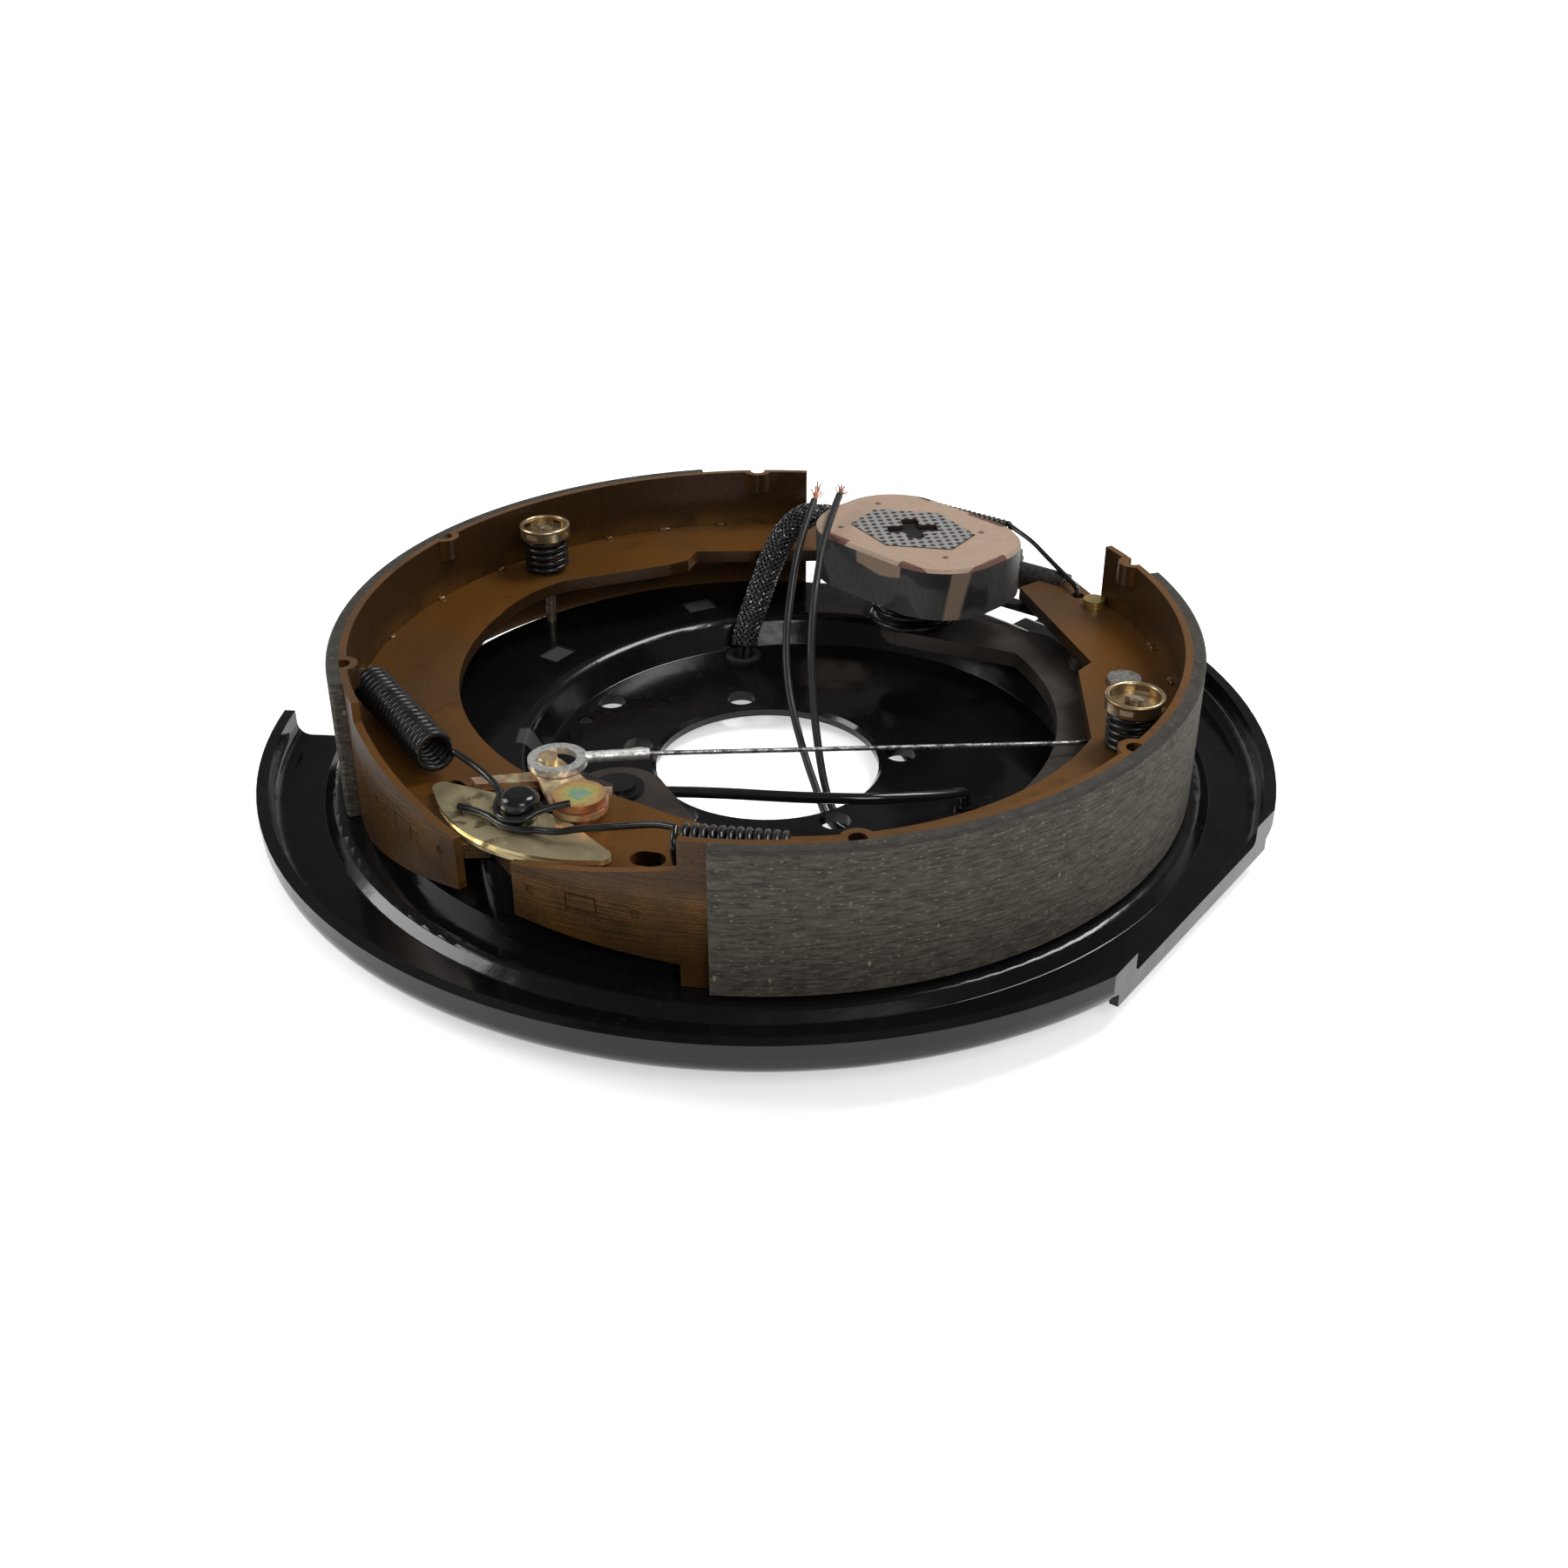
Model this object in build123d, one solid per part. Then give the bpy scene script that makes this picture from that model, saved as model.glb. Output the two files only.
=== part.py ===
from build123d import *

import os
from math import atan2, cos, degrees, hypot, radians, sin, tan

# Electric trailer drum brake, lying on its back. Millimetres.
# Z is the hub axis and z = 0 is the face that bolts to the axle flange. The origin is on the spindle
# bore's axis. +Y points at the anchor post, +X at the primary shoe and -X at the secondary shoe.

# Overall sizes
drum_radius = 152.4
shoe_width = 50.8
lining_clearance = 0.8
lining_thickness = 4.4
rim_thickness = 2.6
web_thickness = 4.8
shoe_pad_gap = 0.3

# Backing plate
plate_thickness = 4.0
ring_top = 15.0
ring_radius = 138.0
ring_land = 33.5
bowl_wall_run = 7.5
bowl_centre = (-11.5, -7.9)
bowl_mouth_radius = ring_radius - ring_land
bowl_floor_radius = bowl_mouth_radius - bowl_wall_run
shoulder_top = 9.7
shoulder_land = 17.5
shoulder_radius = ring_radius + shoulder_land
gutter_top = 6.0
gutter_width = 25.0
plate_radius = shoulder_radius + gutter_width
flange_height = 16.0
press_radius = 3.0
flange_bend_radius = 7.0
cutaway_start = 262.0
cutaway_end = 391.5
flat_distance = plate_radius - 9.5
flat_lip_height = 9.0
flat_lip_thickness = 3.0
anchor_platform_radius = ring_radius + 6.0
press_mark_depth = 0.6
press_marks = ((88.9, -71.0, -28.0), (106.0, -2.4, 3.0), (68.8, 52.4, 36.0))
anchor_platform_start = 63.5
anchor_platform_end = 116.0

# Spindle bore and mounting holes
bore_radius = 41.0
bore_chamfer = 1.4
bolt_circle_radius = 49.3
bolt_hole_radius = 5.6
bolt_angles = (90.0, 24.5, 155.5, -41.0, 221.0)
spare_hole_radius = 5.5
spare_hole = (76.0, 0.0)
pilot_hole_radius = 3.2
pilot_hole = (74.0, 17.3)
slot_length = 27.0
slot_width = 8.5
slot_distance = 121.0
open_slot_x = -27.0
plugged_slot_x = 8.0
plug_lip = 1.6

# Shoes
web_middle = shoulder_top + shoe_pad_gap + shoe_width / 2
web_bottom = web_middle - web_thickness / 2
web_top = web_middle + web_thickness / 2
shoe_bottom = web_middle - shoe_width / 2
shoe_top = web_middle + shoe_width / 2
lining_radius = drum_radius - lining_clearance
rim_outer = lining_radius - lining_thickness
rim_inner = rim_outer - rim_thickness
tongue_tip = (-12.4, 5.8)
primary_tongue_root = (-26.0, 19.0)
secondary_tongue_root = (-17.7, 15.7)
tab_length = 10.4
tab_height = 6.0
tab_groove = 0.7
mark_depth = 0.5
primary_rim_span = (-59.7, 62.0)
primary_tongue_end = 87.0
primary_tab_angle = 76.2
primary_dimples = (84.1, 69.0)
primary_lining_span = (-42.5, 56.0)
secondary_rim_span = (117.0, 243.0)
secondary_tongue_end = 96.0
secondary_tab_angle = 105.2
secondary_dimples = (98.5, 112.0)
secondary_lining_span = (120.5, 232.0)
lining_chamfer = 1.0
nib_radius = 5.5
nib_height = 8.0
primary_nibs = (-51.5, 5.7, 50.3)
secondary_nibs = (137.1, 177.6, 236.5)
web_gap = 1.0

# Anchor post and guide plate
anchor = (0.0, 126.0)
anchor_boss_radius = 14.5
anchor_seat_radius = 9.5
anchor_seat_clearance = 0.3
anchor_neck_radius = 5.0
anchor_head_radius = 6.3
anchor_head_height = 4.6
anchor_tail_radius = 11.0
anchor_tail_bottom = -5.0
guide_thickness = 1.8
guide_gap = 0.3
guide_half_span = 34.0
guide_outer_y = 142.0
guide_lip_drop = 1.0

# Magnet arm
arm_pivot = (4.0, 77.0)
arm_thickness = 6.0
arm_bottom = 20.0
arm_width = 20.0
arm_sweep_radius = 114.0
arm_end_radius = 15.6
arm_start_angle = 118.0
arm_turn_angle = 243.0
pivot_shaft_radius = 6.0
pivot_running_gap = 0.06
pivot_collar_radius = 8.7
pivot_collar_height = 1.5
block_x = 2.5
block_width = 17.0
block_depth = 14.0
block_reach = 26.5
block_play = 0.35

arm_spring_wire = 2.0
arm_coil_radius = 9.6
leg_hole_radius = 2.4
arm_spring_route = [
    (12.3, 72.2, 17.0),
    (6.5, 60.0, 16.6),
    (-12.0, 46.0, 16.0),
    (-33.0, 34.0, 16.0),
    (-57.5, 17.5, 16.0),
    (-68.0, 3.0, 13.5),
    (-73.0, -7.0, 11.0),
    (-75.5, -15.0, 9.5),
    (-75.5, -15.0, -1.5),
]

# Magnet
magnet_centre = (-2.9, -93.0)
magnet_length = 81.0
magnet_width = 58.0
magnet_tilt = -9.0
magnet_top = 64.0
magnet_height = 20.0
magnet_edge = 1.2
magnet_post_radius = 8.0
magnet_post_gap = 0.1
magnet_travel = 4.0
pole_offset = (2.0, 0.4)
pole_length = 45.5
pole_width = 39.0
pole_end = 18.0
pole_turn = 2.0
pole_cross_turn = 42.0
pole_cross_length = 19.5
pole_cross_width = 6.6
pole_proud = 0.3
pole_depth = 6.0

# Adjuster
adjuster_y = -137.0
star_radius = 12.5
star_x = -17.5
star_thickness = 4.6
star_teeth = 20
star_tooth_depth = 2.2
screw_radius = 4.4
screw_end_x = 30.0
stub_radius = 3.6
thread_gap = 0.05
socket_radius = 5.7
nut_radius = 6.6
nut_start_x = -8.0
fork_reach = 8.0
fork_gap = 0.2
secondary_web_end_x = -38.2
primary_web_end_x = 40.0
washer_thickness = 1.2
washer_gap = 0.15

# Web holes and rivets
primary_oval_hole = (33.0, 121.5)
secondary_oval_hole = (-43.0, 116.5)
adjuster_spring_hole = (-56.0, -128.5)
rivet_radius = 3.0
rivet_head_radius = 4.1
guide_rivet_radius = 6.0

# Hold-downs
hold_down_radius = 131.5
primary_hold_down_angle = -10.5
secondary_hold_down_angle = 194.0
pin_radius = 2.0
pin_head_radius = 2.9
pin_head_thickness = 1.6
web_hole_radius = 5.0
cup_radius = 9.8
cup_depth = 4.5
cup_sheet = 1.2
cup_top = 57.0
cup_window_width = 4.6
cup_window_height = 1.9
hold_spring_radius = 7.6
hold_spring_wire = 2.2
hold_spring_turns = 4.5

# Return springs
spring_wire = 2.2
spring_coil_radius = 6.7
spring_level = 47.5
spring_hole_radius = 2.6
primary_coil = ((37.0, 121.0), (95.0, 99.0))
secondary_coil = ((-49.0, 112.5), (-84.0, 90.5))
primary_spring_hole = (103.0, 91.5)
secondary_spring_hole = (-94.0, 85.0)

# Parking lever
lever_pin = (-10.5, 110.5)
lever_pin_radius = 4.0
lever_disc_radius = 8.2
lever_arm_radius = 8.8
lever_disc_thickness = 2.6
lever_thickness = 2.0
lever_gap = 0.3
eye_pin = (13.0, 99.5)
eye_pin_radius = 3.1

# Adjuster cable
eye_radius = 9.6
eye_hole_radius = 6.2
eye_thickness = 2.2
ferrule_radius = 1.9
ferrule_length = 20.0
rope_radius = 0.85
guide_centre = (-104.5, -72.6)
cable_guide_radius = 12.0
cable_height = 29.6
adjuster_lever_pivot = (-65.3, -123.8)
adjuster_lever_radius = 4.1
adjuster_lever_thickness = 2.4
adjuster_lever_top = 30.6

# Leads
lead_radius = 1.45
lead_rise_corner = 12
sleeve_radius = 4.7
sleeve_bore = 3.7
strand_radius = 0.7
strand_length = 8.0
grommet_place = (58.3, -61.0)
grommet_hole_radius = 6.0
grommet_bore = 4.4
grommet_lip = 1.2
grommet_back_lip = 0.8
sleeve_route = [
    (37.6, -104.6, 52.0),
    (47.0, -106.8, 54.0),
    (56.0, -104.0, 53.5),
    (61.5, -97.0, 48.5),
    (63.0, -88.5, 39.5),
    (62.8, -80.5, 28.5),
    (61.6, -72.5, 19.5),
    (60.4, -65.7, 13.3),
    (58.9, -62.7, 7.8),
]
first_lead_route = [
    (59.2, -66.4, 14.5),
    (56.6, -61.6, 6.0),
    (56.5, -60.9, -3.4),
    (49.5, -55.5, -3.5),
    (40.0, -52.5, -3.4),
    (22.0, -57.0, -3.4),
    (0.0, -60.0, -3.4),
    (-25.0, -55.0, -3.4),
    (-46.0, -41.0, -3.4),
    (-59.0, -20.0, -3.4),
    (-61.5, -2.0, -3.4),
    (-56.0, 11.0, -3.4),
    (-45.0, 16.0, -3.4),
    (-35.0, 11.6, -3.2),
    (-27.0, 6.5, 3.0),
    (-18.0, 0.5, 9.5),
    (-7.0, -9.0, 14.5),
    (5.5, -20.5, 21.5),
    (16.0, -32.5, 32.5),
    (26.5, -50.0, 45.0),
    (39.5, -74.0, 56.0),
    (48.0, -95.5, 63.5),
]
second_lead_route = [
    (62.2, -66.0, 14.5),
    (60.1, -61.6, 6.0),
    (60.0, -60.9, -3.4),
    (54.5, -52.5, -3.5),
    (44.5, -47.0, -3.4),
    (25.0, -51.5, -3.4),
    (2.0, -55.5, -3.4),
    (-22.0, -50.5, -3.4),
    (-42.0, -37.0, -3.4),
    (-54.5, -18.0, -3.4),
    (-57.0, -2.5, -3.4),
    (-52.0, 8.0, -3.4),
    (-43.0, 11.0, -3.4),
    (-33.5, 6.2, -3.2),
    (-26.0, 1.0, 4.0),
    (-19.0, -5.0, 14.0),
    (-10.5, -13.5, 27.0),
    (-2.5, -23.0, 42.5),
    (6.0, -37.5, 56.5),
    (21.5, -65.5, 66.8),
    (34.0, -93.0, 69.8),
]


# Heights that follow from the stack over the web ends
guide_bottom = web_top + guide_gap + guide_lip_drop
guide_top = guide_bottom + guide_thickness
lower_loop_level = guide_top + 0.3 + spring_wire / 2
upper_loop_level = lower_loop_level + spring_wire + 0.2
anchor_head_base = upper_loop_level + spring_wire / 2 + 0.1
lever_bottom = guide_top + lever_gap
lever_top = lever_bottom + lever_thickness
eye_bottom = lever_top + 0.2


def polar(radius, angle, centre=(0.0, 0.0)):
    """Plan position at a radius and an angle in degrees."""
    return centre[0] + radius * cos(radians(angle)), centre[1] + radius * sin(radians(angle))


def disc(radius, bottom, top, at=(0.0, 0.0)):
    """Upright cylinder between two heights."""
    return Pos(at[0], at[1], bottom) * extrude(Circle(radius), top - bottom)


def ring(outer, inner, bottom, top, at=(0.0, 0.0)):
    """Upright tube between two heights."""
    return Pos(at[0], at[1], bottom) * extrude(Circle(outer) - Circle(inner), top - bottom)


def along_x(radius, start, end, y=adjuster_y, z=web_middle):
    """Cylinder on a line parallel to X, at the adjuster's height unless told otherwise."""
    return Plane(origin=(start, y, z), x_dir=(0, 1, 0), z_dir=(1, 0, 0)) * extrude(Circle(radius), end - start)


def sector(outer, inner, start, end, bottom, top, centre=(0.0, 0.0)):
    """Part of a tube between two angles."""
    middle = (start + end) / 2
    path = [
        ThreePointArc(polar(outer, start), polar(outer, middle), polar(outer, end)),
        Line(polar(outer, end), polar(inner, end)),
        ThreePointArc(polar(inner, end), polar(inner, middle), polar(inner, start)),
        Line(polar(inner, start), polar(outer, start)),
    ]
    return Pos(centre[0], centre[1], bottom) * extrude(make_face(path), top - bottom)


def outline(points, bottom, top):
    """Upright prism on a straight-sided outline."""
    return Pos(0, 0, bottom) * extrude(make_face(Polyline(*points, close=True)), top - bottom)


def slot(length, width, bottom, top, at, angle=0.0):
    """Upright oblong with round ends."""
    shape = Pos(at[0], at[1]) * Rot(0, 0, angle) * SlotOverall(length, width)
    return Pos(0, 0, bottom) * extrude(shape, top - bottom)


def bend_radii(points, share=0.45):
    """Largest even bends that a route's runs allow."""
    radii = []
    for before, corner, after in zip(points, points[1:], points[2:]):
        run_in = Vector(*corner) - Vector(*before)
        run_out = Vector(*after) - Vector(*corner)
        half_turn = radians(run_in.get_angle(run_out)) / 2
        radii.append(share * min(run_in.length, run_out.length) / tan(half_turn))
    return radii


def tube(points, radius, radii=None):
    """Round bar along straight runs joined by tangent arcs."""
    path = FilletPolyline(*points, radius=radii or bend_radii(points))
    section = Plane(origin=path @ 0, z_dir=path % 0) * Circle(radius)
    return sweep(section, path=path)


def pressed_sheet(points, radii):
    """Face of a bent sheet, from its middle line in the XZ plane."""
    line = FilletPolyline(*points, radius=radii)
    return Plane.XZ * trace(line, plate_thickness)


def backing_plate():
    half = plate_thickness / 2
    rim_line = plate_radius - half
    outer_points = [
        (0, ring_top - half),
        (ring_radius - half, ring_top - half),
        (ring_radius + 1.5, shoulder_top - half),
        (shoulder_radius - half, shoulder_top - half),
        (shoulder_radius + 2.5, gutter_top - half),
        (rim_line, gutter_top - half),
        (rim_line, flange_height),
    ]
    outer_radii = [press_radius, press_radius, press_radius, press_radius, flange_bend_radius]
    dish = revolve(pressed_sheet(outer_points, outer_radii), Axis.Z)
    mouth = bowl_mouth_radius - half
    bowl_points = [
        (0, half),
        (bowl_floor_radius, half),
        (mouth, ring_top - half),
        (mouth + 4.5, ring_top - half),
    ]
    bowl = Pos(*bowl_centre) * revolve(pressed_sheet(bowl_points, [press_radius, press_radius]), Axis.Z)
    plate = dish - disc(mouth + 3.5, 0, flange_height, bowl_centre) + bowl

    # Cut-away side and the flat with its small lip
    plate -= sector(plate_radius + 5, ring_radius - 0.5, cutaway_start, cutaway_end, -1, flange_height + 1)
    flat_half = (plate_radius ** 2 - flat_distance ** 2) ** 0.5
    plate -= Pos(-flat_distance - 20, 0, 0) * Box(40, 4 * flat_half, 4 * flange_height)
    lip_x = -flat_distance + flat_lip_thickness / 2
    lip_z = (gutter_top - plate_thickness + flat_lip_height) / 2
    lip_height = flat_lip_height - gutter_top + plate_thickness
    plate += Pos(lip_x, 0, lip_z) * Box(flat_lip_thickness, 2 * flat_half - 8, lip_height)

    # Raised platform that carries the anchor post
    platform = sector(anchor_platform_radius, ring_radius - 6, anchor_platform_start, anchor_platform_end,
                      shoulder_top - plate_thickness, ring_top)
    hollow = sector(anchor_platform_radius - plate_thickness, ring_radius - 7, anchor_platform_start + 1.5,
                    anchor_platform_end - 1.5, 0, ring_top - plate_thickness)
    plate = plate - hollow + (platform - hollow)

    # Holes
    plate -= disc(bore_radius, -1, ring_top)
    plate -= Pos(0, 0, plate_thickness - bore_chamfer / 2) * Cone(bore_radius, bore_radius + bore_chamfer, bore_chamfer)
    for angle in bolt_angles:
        plate -= disc(bolt_hole_radius, -1, ring_top, polar(bolt_circle_radius, angle))
    plate -= disc(spare_hole_radius, -1, ring_top, spare_hole)
    plate -= disc(pilot_hole_radius, -1, ring_top, pilot_hole)
    for x in (open_slot_x, plugged_slot_x):
        plate -= slot(slot_length, slot_width, 0, ring_top + 1, (x, -slot_distance))
    for x, y, turn in press_marks:
        mark = Pos(x, y, ring_top) * Rot(0, 0, turn) * Box(9.0, 12.0, 2 * press_mark_depth)
        plate -= mark
    for at in hold_down_places():
        plate -= disc(pin_radius + 0.5, 0, ring_top + 1, at)
    plate -= disc(anchor_boss_radius - 4, 0, ring_top + 1, anchor)
    plate -= disc(pivot_shaft_radius, -1, ring_top, arm_pivot)
    plate -= disc(grommet_hole_radius, -1, ring_top + 1, grommet_place)
    plate += disc(leg_hole_radius + 2.4, plate_thickness - 0.5, plate_thickness + 1.2, spring_leg_hole())
    plate -= disc(leg_hole_radius, -1, ring_top, spring_leg_hole())
    return plate


def spring_leg_hole():
    """Plan position where the arm spring's leg enters the plate."""
    return arm_spring_route[-1][:2]


def hold_down_places():
    return [polar(hold_down_radius, angle) for angle in (primary_hold_down_angle, secondary_hold_down_angle)]


def anchor_post():
    post = disc(anchor_tail_radius, anchor_tail_bottom, shoulder_top - plate_thickness, anchor)
    post += disc(anchor_boss_radius - 4.05, anchor_tail_bottom, ring_top + 1, anchor)
    post += disc(anchor_boss_radius, ring_top, web_bottom - guide_gap, anchor)
    post += disc(anchor_seat_radius, ring_top, guide_bottom, anchor)
    post += disc(anchor_neck_radius, ring_top, anchor_head_base + 1, anchor)
    head = Pos(anchor[0], anchor[1], anchor_head_base) * head_profile()
    return post + head


def head_profile():
    """Domed head with a flat top."""
    crown = anchor_head_radius * 0.45
    side = anchor_head_height * 0.45
    path = [
        Line((0, 0), (anchor_head_radius, 0)),
        Line((anchor_head_radius, 0), (anchor_head_radius, side)),
        ThreePointArc((anchor_head_radius, side), (anchor_head_radius * 0.86, anchor_head_height * 0.8),
                      (crown, anchor_head_height)),
        Line((crown, anchor_head_height), (0, anchor_head_height)),
        Line((0, anchor_head_height), (0, 0)),
    ]
    return revolve(Plane.XZ * make_face(path), Axis.Z)


def shoe_guide_plate():
    """Lens-shaped pressing over the web ends, with its outer edge turned down."""
    span = guide_half_span
    edge = [
        ThreePointArc((-span, 130), (0, guide_outer_y), (span, 130)),
        ThreePointArc((span, 130), (span + 2.5, 126.5), (span - 1, 123.5)),
        Line((span - 1, 123.5), (9, 117.4)),
        ThreePointArc((9, 117.4), (0, 119.2), (-9, 117.4)),
        Line((-9, 117.4), (-span + 1, 123.5)),
        ThreePointArc((-span + 1, 123.5), (-span - 2.5, 126.5), (-span, 130)),
    ]
    sheet = Pos(0, 0, guide_bottom) * extrude(make_face(edge), guide_thickness)
    edge_line = ThreePointArc((-span + 5, 132.4), (0, guide_outer_y), (span - 5, 132.4))
    lip = Pos(0, 0, guide_bottom - guide_lip_drop) * extrude(trace(edge_line, 1.6), guide_lip_drop + 0.5)
    return sheet + lip - disc(anchor_neck_radius + 0.1, web_bottom, anchor_head_base, anchor)


def arm_pivot_post():
    collar_bottom = arm_bottom + arm_thickness + 0.3
    post = disc(pivot_shaft_radius + 4, -2.5, 0, arm_pivot)
    post += disc(pivot_shaft_radius, -2.5, collar_bottom + pivot_collar_height + 1.5, arm_pivot)
    post += disc(pivot_shaft_radius + 1.2, plate_thickness, arm_bottom - 0.3, arm_pivot)
    return post + disc(pivot_collar_radius, collar_bottom, collar_bottom + pivot_collar_height, arm_pivot)


def arm_return_spring():
    """Coil round the pivot post and a long leg across the bore into the plate."""
    high = arm_bottom - 0.8
    outer = arm_coil_radius + arm_spring_wire + 0.1
    inner = arm_coil_radius - arm_spring_wire - 0.1
    coil = ring(outer, inner, high - 4 * arm_spring_wire, high, arm_pivot)
    return coil + tube(arm_spring_route, arm_spring_wire)


def actuating_arm():
    top = arm_bottom + arm_thickness
    half = arm_width / 2
    bar = sector(arm_sweep_radius + half, arm_sweep_radius - half, arm_start_angle, arm_turn_angle,
                 arm_bottom, top)
    start = polar(arm_sweep_radius, arm_start_angle)
    end = polar(arm_sweep_radius, arm_turn_angle)
    bar += bridge(arm_pivot, start, arm_end_radius, half, arm_bottom, top)
    bar += bridge(end, magnet_centre, half, half + 3, arm_bottom, top)
    block = Pos(block_x, arm_pivot[1] + block_reach - block_depth / 2, (arm_bottom + web_top) / 2)
    bar += block * Box(block_width, block_depth, web_top - arm_bottom)
    bar += outline([(-4.5, 80), (9.5, 80), (8, 98), (-3, 98)], arm_bottom, top)
    return bar - disc(pivot_shaft_radius + pivot_running_gap, 0, web_top + 10, arm_pivot)


def bridge(start, end, start_radius, end_radius, bottom, top):
    """Flat link with round ends and straight sides between two plan positions."""
    angle = degrees(atan2(end[1] - start[1], end[0] - start[0]))
    sides = [
        polar(start_radius, angle + 90, start),
        polar(start_radius, angle - 90, start),
        polar(end_radius, angle - 90, end),
        polar(end_radius, angle + 90, end),
    ]
    return (disc(start_radius, bottom, top, start) + disc(end_radius, bottom, top, end)
            + outline(sides, bottom, top))


def magnet_post():
    arm_top = arm_bottom + arm_thickness
    post_top = magnet_top - pole_depth - magnet_travel - 0.5
    post = disc(magnet_post_radius + 4, arm_top, arm_top + 2, magnet_centre)
    return post + disc(magnet_post_radius, arm_top, post_top, magnet_centre)


def magnet_spring():
    """Cone follower spring between arm and magnet, as its outer shape."""
    arm_top = arm_bottom + arm_thickness
    base = arm_top + 0.3
    height = magnet_top - magnet_height - 0.3 - base
    outer = Pos(magnet_centre[0], magnet_centre[1], base + height / 2) * Cone(18, 14.5, height)
    inner = Pos(magnet_centre[0], magnet_centre[1], base + height / 2) * Cone(15, 12.5, height)
    return outer - inner


def magnet_plan(length, width):
    """Oval with flattened long sides, as the magnet's plan."""
    plan = RectangleRounded(length, width, width * 0.42)
    return Pos(*magnet_centre) * Rot(0, 0, magnet_tilt) * plan


def magnet_case():
    bottom = magnet_top - magnet_height
    body = Pos(0, 0, bottom) * extrude(magnet_plan(magnet_length, magnet_width), magnet_height)
    body = chamfer(body.edges().group_by(Axis.Z)[-1], magnet_edge)
    pocket = Pos(0, 0, magnet_top - pole_depth) * extrude(pole_plan(0.0), pole_depth + 1)
    bore = disc(magnet_post_radius + magnet_post_gap, bottom - 1, magnet_top - pole_depth + 1, magnet_centre)
    return body - pocket - bore


def pole_place():
    """Middle of the pole insert in plan."""
    return Pos(magnet_centre[0] + pole_offset[0], magnet_centre[1] + pole_offset[1])


def pole_plan(gap):
    """Long hexagon with flat ends in the wear face, drawn in by a gap."""
    half = pole_length / 2 - gap
    side = pole_width / 2 - gap
    end = pole_end / 2 - gap / 2
    hexagon = Polyline((half, -end), (half, end), (0, side), (-half, end), (-half, -end), (0, -side), close=True)
    return pole_place() * Rot(0, 0, pole_turn) * make_face(hexagon)


def magnet_pole():
    base = magnet_top - pole_depth
    insert = Pos(0, 0, base) * extrude(pole_plan(0.2), pole_depth + pole_proud)
    arms = (Rectangle(pole_cross_length, pole_cross_width)
            + Rectangle(pole_cross_width, pole_cross_length))
    cross = pole_place() * Rot(0, 0, pole_cross_turn) * arms
    return insert - Pos(0, 0, magnet_top - 1.5) * extrude(cross, 5)


def table_plane(radius, angle, level):
    """Plane that faces outward on a shoe table, with its x axis level."""
    turn = radians(angle)
    at = polar(radius, angle)
    return Plane(origin=(at[0], at[1], level), x_dir=(-sin(turn), cos(turn), 0), z_dir=(cos(turn), sin(turn), 0))


def tongue(root, tip, root_edges):
    """Narrow end of a shoe table that tapers towards the anchor."""
    middle = (root + tip) / 2
    near, far = (rim_outer * sin(radians(angle - middle)) for angle in (root, tip))
    low, high = root_edges
    flank = Polyline((near, low), (far, tongue_tip[0]), (far, tongue_tip[1]), (near, high), close=True)
    block = extrude(table_plane(0.0, middle, web_middle) * make_face(flank), rim_outer + 5)
    start, end = sorted((root, tip))
    return sector(rim_outer, rim_inner, start - 1, end + 1, shoe_bottom, shoe_top) & block


def rim(span, tongue_end, root_edges, tab_angle, dimples, nibs):
    """Rolled shoe table: full width on the lining, narrow towards the anchor, with nibs on its edge."""
    start, end = span
    table = sector(rim_outer, rim_inner, start, end, shoe_bottom, shoe_top)
    root = end - 0.5 if tongue_end < 90 else start + 0.5
    table += tongue(root, tongue_end, root_edges)
    groove = (Rectangle(tab_length, tab_height)
              - Rectangle(tab_length - 2 * tab_groove, tab_height - 2 * tab_groove))
    table -= extrude(table_plane(rim_outer - mark_depth, tab_angle, web_middle - 1.5) * groove, 5)
    for angle in dimples:
        table -= extrude(table_plane(rim_outer - mark_depth, angle, web_middle - 1.5) * Circle(1.7), 5)
    for angle in nibs:
        at = polar(rim_outer - 0.9, angle)
        bump = ring(nib_radius, nib_radius - rim_thickness, shoe_top - nib_height, shoe_top, at)
        inside = disc(rim_outer - 0.2, shoe_top - nib_height, shoe_top)
        table -= disc(nib_radius - rim_thickness, shoe_top - nib_height, shoe_top + 1, at)
        table += bump & inside
    return table


def lining(span):
    start, end = span
    block = sector(lining_radius, rim_outer, start, end, shoe_bottom, shoe_top)
    outer = block.faces().filter_by(GeomType.CYLINDER).sort_by(SortBy.AREA)[-1]
    return chamfer(outer.edges(), lining_chamfer)


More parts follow.
